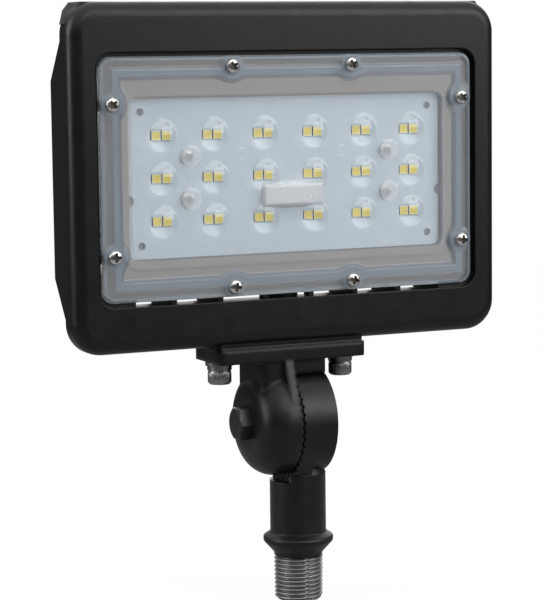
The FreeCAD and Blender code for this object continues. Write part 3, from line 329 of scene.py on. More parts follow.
def make_lens_plastic():
    """Moulded clear plastic that lets lamplight through, as frosted and milky as its mesh says; on the
    rib and its inner slope the haze colour is painted reflection and painted shade.
    """
    material, tree, out = new_tree("lens_plastic")
    place = add(tree, "TexCoord").outputs["Object"]
    frost = add(tree, "Attribute", attribute_name="frost").outputs["Fac"]
    milk_and_painted_light = add(tree, "Attribute", attribute_name="milk_and_painted_light")
    drift = spread(tree, noise(tree, place, FROST_LUMPS), *FROST_DRIFT)
    rough = math_node(tree, "MULTIPLY", drift, frost)
    values = {"Base Color": LENS_TINT, "Transmission Weight": 1.0, "IOR": LENS_IOR, "Roughness": rough}
    plastic = add(tree, "BsdfPrincipled", values)
    ripple = bump(tree, noise(tree, place, RIPPLE_LUMPS), RIPPLE_DEPTH)
    tree.links.new(ripple, plastic.inputs["Normal"])
    haze = add(tree, "BsdfDiffuse", {"Color": milk_and_painted_light.outputs["Color"]})
    hazy = add(tree, "MixShader", {0: milk_and_painted_light.outputs["Alpha"], 1: plastic.outputs[0], 2: haze.outputs[0]})
    through = add(tree, "BsdfTransparent", {"Color": LENS_TINT})
    ray = add(tree, "LightPath").outputs["Is Shadow Ray"]
    mix = add(tree, "MixShader", {0: ray, 1: hazy.outputs[0], 2: through.outputs[0]})
    tree.links.new(mix.outputs[0], out.inputs["Surface"])
    return material


lens_plastic = make_lens_plastic()

FINISHES = {
    "black_casting": black_casting,
    "clear_lens": lens_plastic,
    "seal": seal_rubber,
    "board": board_white,
    "phosphor": phosphor_yellow,
    "white_plastic": white_plastic,
    "lead_sleeve": red_lead,
    "driver_case": driver_case,
    "bright_steel": bright_steel,
    "zinc_steel": zinc_steel,
    "black_steel": black_steel,
}
OWN_FINISHES = {"housing": housing_finish, "lens_gasket": pale_silicone, "upper_knuckle": soft_casting}


def dress_nodes():
    """Gives each CAD node the finish of its material slot, or its own."""
    for node, slot in SLOT_OF.items():
        mesh = nodes[node].data
        mesh.materials.clear()
        mesh.materials.append(OWN_FINISHES.get(node, FINISHES[slot]))


dress_nodes()

# Mesh helpers


class Shape:
    """Points in millimetres and the faces between them, built up loop by loop."""

    def __init__(self):
        self.points = []
        self.faces = []

    def loop(self, points):
        """Adds points and gives their numbers."""
        first = len(self.points)
        self.points.extend(points)
        return range(first, len(self.points))

    def bridge(self, lower, upper):
        """Faces between two closed loops of as many points."""
        count = len(lower)
        for i in range(count):
            following = (i + 1) % count
            self.faces.append((lower[i], lower[following], upper[following], upper[i]))

    def stack(self, loops):
        """Faces from each loop to the next."""
        for lower, upper in zip(loops, loops[1:]):
            self.bridge(lower, upper)

    def cap(self, loop):
        """One face across a loop."""
        self.faces.append(tuple(loop))

    def grid(self, rows):
        """Faces over rows of points."""
        for low, high in zip(rows, rows[1:]):
            for i in range(len(low) - 1):
                self.faces.append((low[i], low[i + 1], high[i + 1], high[i]))

    def join(self, other, place):
        """Another shape, put in place by a matrix."""
        first = len(self.points)
        self.points.extend(tuple(place @ Vector(point)) for point in other.points)
        self.faces.extend(tuple(first + i for i in face) for face in other.faces)


SHARP_ANGLE = 35


def new_mesh(name, shape):
    """A mesh of a shape, in metres."""
    mesh = bpy.data.meshes.new(name)
    mesh.from_pydata([tuple(MM * value for value in point) for point in shape.points], [], shape.faces)
    return mesh


def make_piece(name, shape, material, node, sharp=SHARP_ANGLE):
    """A shape that stands in for a CAD node; edges over an angle of sharp degrees stay sharp."""
    mesh = new_mesh(name, shape)
    work = bmesh.new()
    work.from_mesh(mesh)
    bmesh.ops.recalc_face_normals(work, faces=work.faces)
    work.to_mesh(mesh)
    work.free()
    return place_piece(name, mesh, material, node, sharp)


def place_piece(name, mesh, material, node, sharp=SHARP_ANGLE):
    """Puts a mesh in the scene in a CAD node's stead, on the node's body."""
    mesh.materials.clear()
    mesh.materials.append(material)
    mesh.shade_smooth()
    mesh.set_sharp_from_angle(angle=math.radians(sharp))
    piece = bpy.data.objects.new(name, mesh)
    bpy.context.scene.collection.objects.link(piece)
    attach(piece, BODY_OF[node])
    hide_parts(node)
    return piece


def facing(x, y, z, way):
    """The matrix that takes a shape drawn round +Z to a place; way is its axis and its turn round it."""
    axis, angle = way
    turn = Vector((0, 0, 1)).rotation_difference(Vector(axis)).to_matrix().to_4x4()
    return Matrix.Translation((x, y, z)) @ turn @ Matrix.Rotation(angle, 4, "Z")


ROUND_COUNT = 96


def circle(radius, z, count, wave=None):
    """A loop round Z, its radius changed by wave at each angle."""
    points = []
    for i in range(count):
        angle = 2 * math.pi * i / count
        reach = radius + (wave(angle) if wave else 0)
        points.append((reach * math.cos(angle), reach * math.sin(angle), z))
    return points


def hexagon_reach(flats, angle):
    """How far the side of a hexagon lies from its middle, in the direction of an angle."""
    sector = math.radians(60)
    return flats / 2 / math.cos((angle + sector / 2) % sector - sector / 2)


def ease(value, width):
    """0 below zero, 1 above width and a smooth rise between."""
    share = min(max(value / width, 0), 1)
    return share * share * (3 - 2 * share)


def soft_max(a, b, blend):
    """The larger of two values, with a rounded change from one to the other."""
    overlap = max(blend - abs(a - b), 0) / blend
    return max(a, b) + overlap * overlap * blend / 4


def steps(start, end, size):
    """Evenly spaced values from start to end, no further apart than size."""
    count = math.ceil(abs(end - start) / size)
    return [start + (end - start) * i / count for i in range(count + 1)]


def around(columns, rows):
    """The places round the edge of a grid, each as its column and row."""
    right = columns - 1
    top = rows - 1
    return (
        [(i, 0) for i in range(right)]
        + [(right, j) for j in range(top)]
        + [(i, top) for i in range(right, 0, -1)]
        + [(0, j) for j in range(top, 0, -1)]
    )


# Lens

RIB_OUT = 4.3
RIB_IN = 7.9
RIB_RISE = 0.6
RIB_SLOPE = 0.9
WINDOW_DROP = 0.8
WINDOW_SLOPE = 1.5
BOSS_RADIUS = 5.2
BOSS_SLOPE = 0.4
BOSS_BLEND = 1.0
WINDOW_BLEND = 2.0
EDGE_ROUND = 1.3
DOME_RADIUS = 6.4
DOME_RISE = 1.8
DOME_SHIFT = -1.0
DOME_FILLET = 0.5
DOME_BALL = (DOME_RADIUS ** 2 + DOME_RISE ** 2) / (2 * DOME_RISE)
HOOD_RISE = 1.8
HOOD_SLOPE = 2.2
HOOD_WALL = 1.3
POCKET_RADIUS = 3.9
POCKET_RISE = 0.3
POCKET_SLOPE = 0.9
EJECTOR_SPOTS = at_corners(22.7, 9.0)
EJECTOR_RADIUS = 2.3
EJECTOR_RISE = 0.12
EJECTOR_WIDTH = 0.35


def led_distance(u, v):
    """Distance to the nearest pair of LEDs."""
    first_x = LED_PITCH_X * (LED_COLUMNS - 1) / 2
    first_z = LED_PITCH_Z * (LED_ROWS - 1) / 2
    column = min(max(round((u + first_x) / LED_PITCH_X), 0), LED_COLUMNS - 1)
    row = min(max(round((v + first_z) / LED_PITCH_Z), 0), LED_ROWS - 1)
    return math.hypot(u - column * LED_PITCH_X + first_x, v - row * LED_PITCH_Z + first_z)


def edge_distance(u, v):
    """Distance in from the lens's rounded outline."""
    over_x = abs(u) - LENS_HALF_X + LENS_CORNER
    over_z = abs(v) - LENS_HALF_Z + LENS_CORNER
    out = math.hypot(max(over_x, 0), max(over_z, 0)) + min(max(over_x, over_z), 0)
    return LENS_CORNER - out


def spot_distance(spots, u, v):
    """Distance to the nearest of some spots."""
    return min(math.hypot(u - x, v - z) for x, z in spots)


def lens_zones(u, v):
    """How far a place lies in from the lens's outline, up on the rib or a boss, and inside the window."""
    edge = edge_distance(u, v)
    screw = spot_distance(LENS_SCREW_SPOTS, u, v)
    rib = soft_max(edge - RIB_OUT, BOSS_RADIUS - screw, BOSS_BLEND)
    inside = -soft_max(RIB_IN - edge, BOSS_RADIUS + BOSS_SLOPE - screw, WINDOW_BLEND)
    return edge, rib, inside


def dome_distance(u, v):
    """Distance to the nearest dome's middle."""
    return led_distance(u - DOME_SHIFT, v)


def hood_distance(u, v):
    """Distance out from the hood's outline."""
    return max(abs(u) - HOOD_HALF[0], abs(v + HOOD_DROP) - HOOD_HALF[1])


def lens_rise(u, v):
    """Height of the lens's front over its flange, at a place measured from its middle."""
    edge, rib, inside = lens_zones(u, v)
    rise = RIB_RISE * ease(rib, RIB_SLOPE) - (RIB_RISE + WINDOW_DROP) * ease(inside, WINDOW_SLOPE)
    if edge < EDGE_ROUND:
        rise -= EDGE_ROUND - math.sqrt(max(EDGE_ROUND ** 2 - (EDGE_ROUND - edge) ** 2, 0))
    if inside < WINDOW_SLOPE:
        return rise
    cap = math.sqrt(max(DOME_BALL ** 2 - dome_distance(u, v) ** 2, 0)) - DOME_BALL + DOME_RISE
    hood = HOOD_RISE * (1 - ease(hood_distance(u, v) + HOOD_WALL, HOOD_SLOPE))
    bulge = max(soft_max(cap, 0, DOME_FILLET), hood)
    pocket = spot_distance(BOARD_SCREW_SPOTS, u, v)
    bulge += POCKET_RISE * (1 - ease(pocket - POCKET_RADIUS, POCKET_SLOPE))
    ejector = spot_distance(EJECTOR_SPOTS, u, v)
    ring = math.exp(-(((ejector - EJECTOR_RADIUS) / EJECTOR_WIDTH) ** 2))
    return rise + bulge + EJECTOR_RISE * ring


# Roughness, and the colour and share of the haze, of each zone of the lens; the rib's haze colour is
# painted reflection and its inner slope's is painted shade

EDGE_LOOK = (0.12, (0.34, 0.40, 0.455, 0.42))
FLAT_LOOK = (0.13, (0.21, 0.205, 0.21, 0.46))
# Painted reflection: the rib's light bluish haze stands in for the surroundings that the rib's slopes
# reflect and bend.
RIB_LOOK_PAINTED_REFLECTION = (0.13, (0.28, 0.335, 0.40, 0.50))
# Painted shade: the inner slope's darker bluish haze stands in for the shade on the rib's inner side.
SLOPE_LOOK_PAINTED_SHADE = (0.13, (0.20, 0.23, 0.275, 0.46))
MARGIN_LOOK = (0.13, (0.43, 0.42, 0.42, 0.5))
WINDOW_LOOK = (0.13, (0.66, 0.72, 0.78, 0.16))
POCKET_LOOK = (0.40, (0.66, 0.695, 0.735, 0.5))
HOOD_LOOK = (0.32, (0.64, 0.655, 0.675, 0.45))
BACK_LOOK = (0.17, (0.66, 0.72, 0.78, 0.0))
DOME_LOOK = (0.015, (0.66, 0.72, 0.78, 0.0))

# Where each look starts, and the width of the change to it

WINDOW_HALF = (72.1, 33.1)
LOOK_SOFT = 0.8
EDGE_BAND = 1.4
RIB_SOFT = 1.0
SLOPE_START = -0.3
MARGIN_START = 0.9
MARGIN_SOFT = 0.9
POCKET_SOFT = 0.7
DOME_INSET = 0.4


def mix_looks(first, second, share):
    """A look between two."""
    rough = first[0] + (second[0] - first[0]) * share
    haze = tuple(a + (b - a) * share for a, b in zip(first[1], second[1]))
    return rough, haze


def lens_look(u, v):
    """The look of the lens at a place measured from its middle."""
    edge, rib, inside = lens_zones(u, v)
    look = mix_looks(EDGE_LOOK, FLAT_LOOK, ease(edge - EDGE_BAND, LOOK_SOFT))
    # The rib's haze is painted reflection, and its inner slope's haze is painted shade.
    look = mix_looks(look, RIB_LOOK_PAINTED_REFLECTION, ease(rib, RIB_SOFT))
    look = mix_looks(look, SLOPE_LOOK_PAINTED_SHADE, ease(inside - SLOPE_START, LOOK_SOFT))
    look = mix_looks(look, MARGIN_LOOK, ease(inside - MARGIN_START, MARGIN_SOFT))
    window = min(WINDOW_HALF[0] - abs(u), WINDOW_HALF[1] - abs(v))
    look = mix_looks(look, WINDOW_LOOK, ease(window, LOOK_SOFT))
    pocket = spot_distance(BOARD_SCREW_SPOTS, u, v)
    look = mix_looks(look, POCKET_LOOK, 1 - ease(pocket - POCKET_RADIUS, POCKET_SOFT))
    dome = dome_distance(u, v)
    look = mix_looks(look, DOME_LOOK, 1 - ease(dome - DOME_RADIUS + DOME_INSET, LOOK_SOFT))
    return mix_looks(look, HOOD_LOOK, 1 - ease(hood_distance(u, v), LOOK_SOFT))


def lens_outline(u, v, inner_x, inner_z):
    """The place on the lens's outline that belongs to a place on the inner rectangle's edge."""
    u *= LENS_HALF_X / inner_x
    v *= LENS_HALF_Z / inner_z
    corner_x = math.copysign(LENS_HALF_X - LENS_CORNER, u)
    corner_z = math.copysign(LENS_HALF_Z - LENS_CORNER, v)
    if abs(u) > abs(corner_x) and abs(v) > abs(corner_z):
        reach = math.hypot(u - corner_x, v - corner_z)
        u = corner_x + (u - corner_x) * LENS_CORNER / reach
        v = corner_z + (v - corner_z) * LENS_CORNER / reach
    return u, v


# The lens's mesh: a grid over the window, fine over the domes, and loops round it out to the rim

LENS_BAND = 12.0
FINE_HALF = 24.0
FINE_STEP = 0.45
WIDE_STEP = 1.2
BAND_STEP = 0.42
BAND_END = 3.6
RIM_INSETS = [2.8, 2.0, 1.5, 1.1, 0.8, 0.5, 0.25, 0.1, 0.02, 0.0]
BACK_ROOM = 0.01


def make_lens():
    """The lens but for its flat back, and the loops round that back and round the hood's hollow in it."""
    inner_x = LENS_HALF_X - LENS_BAND
    inner_z = LENS_HALF_Z - LENS_BAND
    across = steps(-inner_x, inner_x, FINE_STEP)
    lower = steps(-inner_z, -FINE_HALF, WIDE_STEP)
    middle = steps(-FINE_HALF, FINE_HALF, FINE_STEP)
    upper = steps(FINE_HALF, inner_z, WIDE_STEP)
    upward = lower[:-1] + middle + upper[1:]
    shape = Shape()

    def front(u, v):
        return (LENS_X + u, LENS_FACE - lens_rise(u, v), LENS_Z + v)

    rows = [shape.loop([front(u, v) for u in across]) for v in upward]
    shape.grid(rows)
    edge = around(len(across), len(upward))
    inner = [(across[i], upward[j]) for i, j in edge]
    outer = [lens_outline(u, v, inner_x, inner_z) for u, v in inner]
    loops = [[rows[j][i] for i, j in edge]]
    for inset in steps(LENS_BAND, BAND_END, BAND_STEP)[1:] + RIM_INSETS:
        share = inset / LENS_BAND
        places = [
            (a[0] * share + b[0] * (1 - share), a[1] * share + b[1] * (1 - share))
            for a, b in zip(inner, outer)
        ]
        loops.append(shape.loop([front(u, v) for u, v in places]))
    shape.stack(loops)
    rim = shape.loop([(LENS_X + u, LENS_BACK, LENS_Z + v) for u, v in outer])
    shape.bridge(loops[-1], rim)

    half_x = HOOD_HALF[0] - HOOD_WALL
    half_z = HOOD_HALF[1] - HOOD_WALL
    corners = [(-half_x, -half_z), (half_x, -half_z), (half_x, half_z), (-half_x, half_z)]
    depth = LENS_FACE + WINDOW_DROP - HOOD_RISE + HOOD_WALL
    mouth = shape.loop([(LENS_X + u, LENS_BACK, LENS_Z - HOOD_DROP + v) for u, v in corners])
    roof = shape.loop([(LENS_X + u, depth, LENS_Z - HOOD_DROP + v) for u, v in corners])
    shape.bridge(mouth, roof)
    shape.cap(roof)
    return shape, rim, mouth


def finish_lens():
    """Closes the lens's back and gives each of its points a look."""
    shape, rim, mouth = make_lens()
    mesh = new_mesh("lens_moulding", shape)
    work = bmesh.new()
    work.from_mesh(mesh)
    work.verts.ensure_lookup_table()
    back = []
    for loop in (rim, mouth):
        for i, start in enumerate(loop):
            ends = (work.verts[start], work.verts[loop[(i + 1) % len(loop)]])
            back.append(work.edges.get(ends))
    bmesh.ops.triangle_fill(work, edges=back, use_beauty=True, normal=(0, 1, 0))
    bmesh.ops.recalc_face_normals(work, faces=work.faces)
    work.to_mesh(mesh)
    work.free()
    frost = mesh.attributes.new("frost", "FLOAT", "POINT")
    # Each point's haze colour and share; on the rib it holds painted reflection and on its inner slope
    # painted shade.
    milk_and_painted_light = mesh.attributes.new("milk_and_painted_light", "FLOAT_COLOR", "POINT")
    for vertex, rough, haze in zip(mesh.vertices, frost.data, milk_and_painted_light.data):
        look = lens_look(vertex.co.x / MM - LENS_X, vertex.co.z / MM - LENS_Z)
        if vertex.co.y / MM > LENS_BACK - BACK_ROOM:
            look = BACK_LOOK
        rough.value, haze.color = look
    place_piece("lens_moulding", mesh, lens_plastic, "lens", sharp=50)


finish_lens()

# LEDs: sides in a near-black colour as painted shade, a cream frame and a square of phosphor

LED_WINDOW = 2.56
# The sides flare out at the foot, so that a thin line of painted shade shows round each package.
LED_SHADE_FLARE = 0.07
LED_BRIM = 0.12
LED_DRAFT = 0.05
LED_WELL = 0.1
PHOSPHOR_DROP = 0.03


def make_leds():
    """All the LEDs of the board, as three pieces."""
    sides = Shape()
    frames = Shape()
    squares = Shape()
    half = LED_SIZE / 2
    window = LED_WINDOW / 2
    shoulder = LED_HEIGHT - LED_BRIM
    square = ((-1, -1), (1, -1), (1, 1), (-1, 1))

    def loops(shape, x, z, levels):
        """Square loops of the given half widths, at heights over the board."""
        return [
            shape.loop([(x + reach * a, BOARD_FRONT - height, z + reach * b) for a, b in square])
            for reach, height in levels
        ]

    for column in range(LED_COLUMNS):
        for row in range(LED_ROWS):
            for side in (-1, 1):
                x = LENS_X + (column - (LED_COLUMNS - 1) / 2) * LED_PITCH_X + side * LED_PAIR / 2
                z = LENS_Z + (row - (LED_ROWS - 1) / 2) * LED_PITCH_Z
                foot = loops(sides, x, z, ((half + LED_SHADE_FLARE, 0), (half, shoulder)))
                sides.stack(foot)
                sides.cap(foot[0])
                sides.cap(foot[1])
                brim = (half, shoulder), (half - LED_DRAFT, LED_HEIGHT)
                well = (window, LED_HEIGHT), (window, LED_HEIGHT - LED_WELL)
                frames.stack(loops(frames, x, z, brim + well))
                squares.cap(loops(squares, x, z, ((window, LED_HEIGHT - PHOSPHOR_DROP),))[0])
    make_piece("led_sides", sides, package_side_shade, "led_packages", sharp=30)
    make_piece("led_frames", frames, package_cream, "led_packages", sharp=30)
    make_piece("led_phosphor", squares, phosphor_yellow, "led_packages", sharp=30)


make_leds()

# Screws with a cross recess, their details in shares of the head's radius or height

CROSS_ARM = 0.19
CROSS_REACH = 0.62
CROSS_WALL = 0.04
CROSS_DEPTH = 0.72
CROSS_RISE = 0.3
CROWN_FALL = 0.2
CROWN_ROUND = 0.35
HEAD_LINES = [0.42, 0.76, 0.86, 0.94, 1.0]
FIRST_TURN = 0.5
NEXT_TURN = 2.4


def in_cross(a, b):
    """Whether a place on the head, in shares of its radius, lies in the recess."""
    return min(abs(a), abs(b)) <= CROSS_ARM and max(abs(a), abs(b)) <= CROSS_REACH


def cross_head(width, height, length, shank):
    """A pan head with a cross recess, over a plain shank, and how far each point is in the recess.

    The head's seat is at zero and its crown towards +Z."""
    radius = width / 2
    walls = [CROSS_ARM, CROSS_ARM + CROSS_WALL, CROSS_REACH, CROSS_REACH + CROSS_WALL]
    half = sorted([0] + walls + HEAD_LINES)
    lines = [-value for value in half[:0:-1]] + half

    def crown(a, b):
        size = max(abs(a), abs(b))
        flat = math.hypot(a, b)
        share = ease(size - CROSS_REACH, 1 - CROSS_REACH)
        scale = 1 - share + share * size / flat if flat else 1
        rho = min(flat * scale, 1)
        level = height * (1 - CROWN_FALL * rho ** 2 - CROWN_ROUND * rho ** 8)
        if in_cross(a, b):
            level -= height * (CROSS_DEPTH - CROSS_RISE * size / CROSS_REACH)
        return (a * scale * radius, b * scale * radius, level)

    shape = Shape()
    rows = [shape.loop([crown(a, b) for a in lines]) for b in lines]
    shape.grid(rows)
    # 1 in the recess, where the screws' material paints shade.
    deep = [float(in_cross(a, b)) for b in lines for a in lines]
    edge = [rows[j][i] for i, j in around(len(lines), len(lines))]
    foot = shape.loop([(shape.points[i][0], shape.points[i][1], 0) for i in edge])
    shape.bridge(edge, foot)
    slim = shank / width
    under = shape.loop([(shape.points[i][0] * slim, shape.points[i][1] * slim, 0) for i in edge])
    end = shape.loop([(shape.points[i][0], shape.points[i][1], -length) for i in under])
    shape.stack([foot, under, end])
    shape.cap(end)
    return shape, deep + [0.0] * (len(shape.points) - len(deep))


def make_cross_screws(node, spots, seat, way, head):
    """The screws of a node, each turned by its own amount."""
    all_screws = Shape()
    one, deep = cross_head(*head)
    for count, (u, v) in enumerate(spots):
        turn = FIRST_TURN + NEXT_TURN * count
        all_screws.join(one, facing(LENS_X + u, seat, LENS_Z + v, ((0, way, 0), turn)))
    piece = make_piece(node + "_cross", all_screws, bright_steel, node, sharp=40)
    # The recess mark tells the screws' material where to paint shade.
    mark = piece.data.attributes.new("recess", "FLOAT", "POINT")
    mark.data.foreach_set("value", deep * len(spots))


# Width and height of each head, length and width of its shank

SMALL_HEAD = (5.8, 2.0, 8.0, 3.0)
BOARD_HEAD = (5.8, 2.0, 5.0, 3.0)
COVER_HEAD = (7.6, 2.5, 13.0, 4.0)
cover_low, cover_high = node_box("cover_screws")
COVER_HALF_X = (cover_high.x - cover_low.x - COVER_HEAD[0]) / 2
COVER_HALF_Z = (cover_high.z - cover_low.z - COVER_HEAD[0]) / 2
COVER_SPOTS = at_corners(COVER_HALF_X, COVER_HALF_Z)
make_cross_screws("lens_screws", LENS_SCREW_SPOTS, LENS_FACE - RIB_RISE, -1, SMALL_HEAD)
make_cross_screws("board_screws", BOARD_SCREW_SPOTS, BOARD_FRONT, -1, BOARD_HEAD)
make_cross_screws("cover_screws", COVER_SPOTS, cover_high.y - COVER_HEAD[1], 1, COVER_HEAD)

# Socket screws of the plate

PLATE_SCREW_SHANK = 6.0
PLATE_SCREW_HEAD = 10.0
PLATE_SCREW_HEIGHT = 6.0
PLATE_SCREW_SOCKET = 5.0
SCREW_BEVEL = 0.5
SOCKET_BEVEL = 0.35
COLLAR_IN = 0.22
KNURLS = 54
KNURL_DEPTH = 0.22


def socket_screw(length):
    """A knurled head with a hexagon socket, over a plain shank; the head hangs under zero."""
    count = 4 * KNURLS
    shank = PLATE_SCREW_SHANK / 2
    radius = PLATE_SCREW_HEAD / 2
    bottom = -PLATE_SCREW_HEIGHT

    def knurl(angle):
        return -KNURL_DEPTH / 2 * (1 + math.cos(KNURLS * angle))

    def socket(angle):
        return hexagon_reach(PLATE_SCREW_SOCKET, angle)

    profile = [
        (shank - SCREW_BEVEL, length, None),
        (shank, length - SCREW_BEVEL, None),
        (shank, 0, None),
        (radius - SCREW_BEVEL, 0, None),
        (radius - COLLAR_IN, -0.35, None),
        (radius - COLLAR_IN, -0.8, None),
        (radius, -1.0, knurl),
        (radius, bottom + 0.9, knurl),
        (radius - 0.25, bottom + 0.6, None),
        (radius - 0.8, bottom, None),
        (SOCKET_BEVEL, bottom, socket),
        (0, bottom + SOCKET_BEVEL, socket),
        (0, bottom + PLATE_SCREW_HEIGHT / 2, socket),
    ]
    shape = Shape()
    loops = [shape.loop(circle(reach, z, count, wave)) for reach, z, wave in profile]
    shape.stack(loops)
    shape.cap(loops[0])
    shape.cap(loops[-1])
    return shape


def make_plate_screws():
    low, high = node_box("plate_screws")
    seat = low.z + PLATE_SCREW_HEIGHT
    one = socket_screw(high.z - seat)
    screws = Shape()
    for x in (low.x + PLATE_SCREW_HEAD / 2, high.x - PLATE_SCREW_HEAD / 2):
        screws.join(one, Matrix.Translation((x, (low.y + high.y) / 2, seat)))
    make_piece("plate_screws_knurled", screws, zinc_steel, "plate_screws", sharp=40)


make_plate_screws()

# Bolt and nut of the knuckle

BOLT_WIDTH = 8.0
BOLT_FLATS = 13.0
BOLT_HEAD = 5.0
BOLT_TIP = 0.8
NUT_ROOM = 0.05
NUT_CHAMFER = 0.6
FACE_SHARE = 0.47
CHAMFER_SLOPE = math.tan(math.radians(30))


def chamfered_hexagon(shape, low, high, ends):
    """Loops of a hexagon whose corners are turned off at the named ends."""
    flat = FACE_SHARE * BOLT_FLATS

    def side(z, drop):
        points = []
        for i in range(ROUND_COUNT):
            angle = 2 * math.pi * i / ROUND_COUNT
            reach = hexagon_reach(BOLT_FLATS, angle)
            points.append((reach * math.cos(angle), reach * math.sin(angle), z + drop * (reach - flat)))
        return points

    loops = []
    if "low" in ends:
        loops.append(shape.loop(circle(flat, low, ROUND_COUNT)))
    loops.append(shape.loop(side(low, CHAMFER_SLOPE if "low" in ends else 0)))
    loops.append(shape.loop(side(high, -CHAMFER_SLOPE if "high" in ends else 0)))
    if "high" in ends:
        loops.append(shape.loop(circle(flat, high, ROUND_COUNT)))
    return loops


def make_turned(node, shape, seat, way, material):
    """A piece round the bolt's axis: its zero is put at x = seat and its +Z points along way."""
    low, high = node_box(node)
    placed = Shape()
    placed.join(shape, facing(seat, (low.y + high.y) / 2, (low.z + high.z) / 2, ((way, 0, 0), 0)))
    make_piece(node + "_turned", placed, material, node, sharp=25)


def make_bolt():
    low, high = node_box("knuckle_bolt")
    tip = BOLT_HEAD - (high.x - low.x)
    shape = Shape()
    shank = [(BOLT_WIDTH / 2 - BOLT_TIP, tip), (BOLT_WIDTH / 2, tip + BOLT_TIP), (BOLT_WIDTH / 2, 0)]
    loops = [shape.loop(circle(radius, z, ROUND_COUNT)) for radius, z in shank]
    loops.extend(chamfered_hexagon(shape, 0, BOLT_HEAD, ("high",)))
    shape.stack(loops)
    shape.cap(loops[0])
    shape.cap(loops[-1])
    make_turned("knuckle_bolt", shape, low.x + BOLT_HEAD, -1, black_steel)


def make_nut():
    low, high = node_box("knuckle_nut")
    height = high.x - low.x
    bore = BOLT_WIDTH / 2 + NUT_ROOM
    shape = Shape()
    loops = [shape.loop(circle(bore, 0, ROUND_COUNT))]
    loops.extend(chamfered_hexagon(shape, 0, height, ("low", "high")))
    loops.append(shape.loop(circle(bore + NUT_CHAMFER, height, ROUND_COUNT)))
    loops.append(shape.loop(circle(bore, height - NUT_CHAMFER, ROUND_COUNT)))
    shape.stack(loops + loops[:1])
    make_turned("knuckle_nut", shape, low.x, 1, zinc_steel)


make_bolt()
make_nut()

# Stem: the CAD knuckle above the thread, and the thread itself

THREAD_WIDTH = 20.95
THREAD_PITCH = 25.4 / 14
THREAD_DEPTH = 1.0
THREAD_TAPER = 0.25
THREAD_ROOT = 0.12
THREAD_FLANK = 0.76
THREAD_START = 0.3
THREAD_RUN_IN = 1.2
THREAD_SEAM = math.radians(-94)
SEAM_DEPTH = 0.6
SEAM_HALF = 0.03
SEAM_SOFT = 0.05
STEM_BORE = 13.0
BORE_BEVEL = 0.5
END_WALL = 2.3
END_SLOPE = 1.2
THREAD_TOP = 0.8
STEM_CUT = 0.1
THREAD_COUNT = 144
ROWS_PER_TURN = 12

# The coat's end on the thread, and painted shade in its roots, made by mixing in the coat's colour there,
# with the crests bare

PAINTED_TURNS = 0.7
RAGGED_LUMPS = 260
RAGGED_EDGE = 1.2
RAGGED_ROOT_SHADE = 0.5
COAT_FADE = (0.2, 0.4)
ROOT_SHADE_DEPTHS = (0.9, 0.2)
ROOT_SHADE_BARE = 0.55


def thread_reach(angle, z, low):
    """Distance of the thread's surface from the stem's axis."""
    turn = (z / THREAD_PITCH - angle / (2 * math.pi)) % 1
    ridge = ease(abs(2 * turn - 1) - THREAD_ROOT, THREAD_FLANK)
    start = ease(-z - THREAD_START, THREAD_RUN_IN)
    crest = THREAD_WIDTH / 2 - THREAD_TAPER * z / low
    reach = crest - THREAD_DEPTH * (1 - ridge) * start
    gap = abs((angle - THREAD_SEAM + math.pi) % (2 * math.pi) - math.pi)
    reach -= SEAM_DEPTH * ridge * start * (1 - ease(gap - SEAM_HALF, SEAM_SOFT))
    chamfer = STEM_BORE / 2 + END_WALL + max(z - low, 0) * END_SLOPE
    return min(reach, chamfer)


def bare_thread(tree, place):
    """The thread's bare metal, under the coat's ragged end, and less of it down in the roots, where the
    coat's colour is mixed in as painted shade.
    """
    ragged = noise(tree, add(tree, "TexCoord").outputs["Object"], RAGGED_LUMPS)
    frayed = math_node(tree, "MULTIPLY", ragged, MM * RAGGED_EDGE)
    height = math_node(tree, "ADD", place.outputs["Z"], frayed)
    end = -PAINTED_TURNS * THREAD_PITCH
    below = spread(tree, height, 1.0, 0.0, MM * (end - COAT_FADE[0]), MM * (end + COAT_FADE[1]))
    square_x = math_node(tree, "MULTIPLY", place.outputs["X"], place.outputs["X"])
    square_y = math_node(tree, "MULTIPLY", place.outputs["Y"], place.outputs["Y"])
    reach = math_node(tree, "SQRT", math_node(tree, "ADD", square_x, square_y))
    # Painted shade: the coat's colour fills the roots and thins out towards the crests.
    shade_reach = math_node(tree, "ADD", reach, math_node(tree, "MULTIPLY", ragged, MM * RAGGED_ROOT_SHADE))
    root, crest = (MM * (THREAD_WIDTH / 2 - depth) for depth in ROOT_SHADE_DEPTHS)
    return math_node(tree, "MULTIPLY", below, spread(tree, shade_reach, ROOT_SHADE_BARE, 1.0, root, crest))


thread_finish = painted_but("coat_and_bare_thread_root_shade", BARE, bare_thread)


def make_thread():
    """The helical thread, with the moulding's seam down its front, its end and the stem's bore."""
    low = node_box("lower_knuckle")[0].z
    shape = Shape()

    def ring(z):
        points = []
        for i in range(THREAD_COUNT):
            angle = 2 * math.pi * i / THREAD_COUNT
            reach = thread_reach(angle, z, low)
            points.append((reach * math.cos(angle), reach * math.sin(angle), z))
        return shape.loop(points)

    loops = [ring(z) for z in steps(low, THREAD_TOP, THREAD_PITCH / ROWS_PER_TURN)]
    mouth = shape.loop(circle(STEM_BORE / 2 + BORE_BEVEL, low, THREAD_COUNT))
    bore = shape.loop(circle(STEM_BORE / 2, low + BORE_BEVEL, THREAD_COUNT))
    inner = shape.loop(circle(STEM_BORE / 2, THREAD_TOP, THREAD_COUNT))
    shape.stack([inner, bore, mouth] + loops + [inner])
    make_piece("stem_thread", shape, thread_finish, "lower_knuckle", sharp=60)


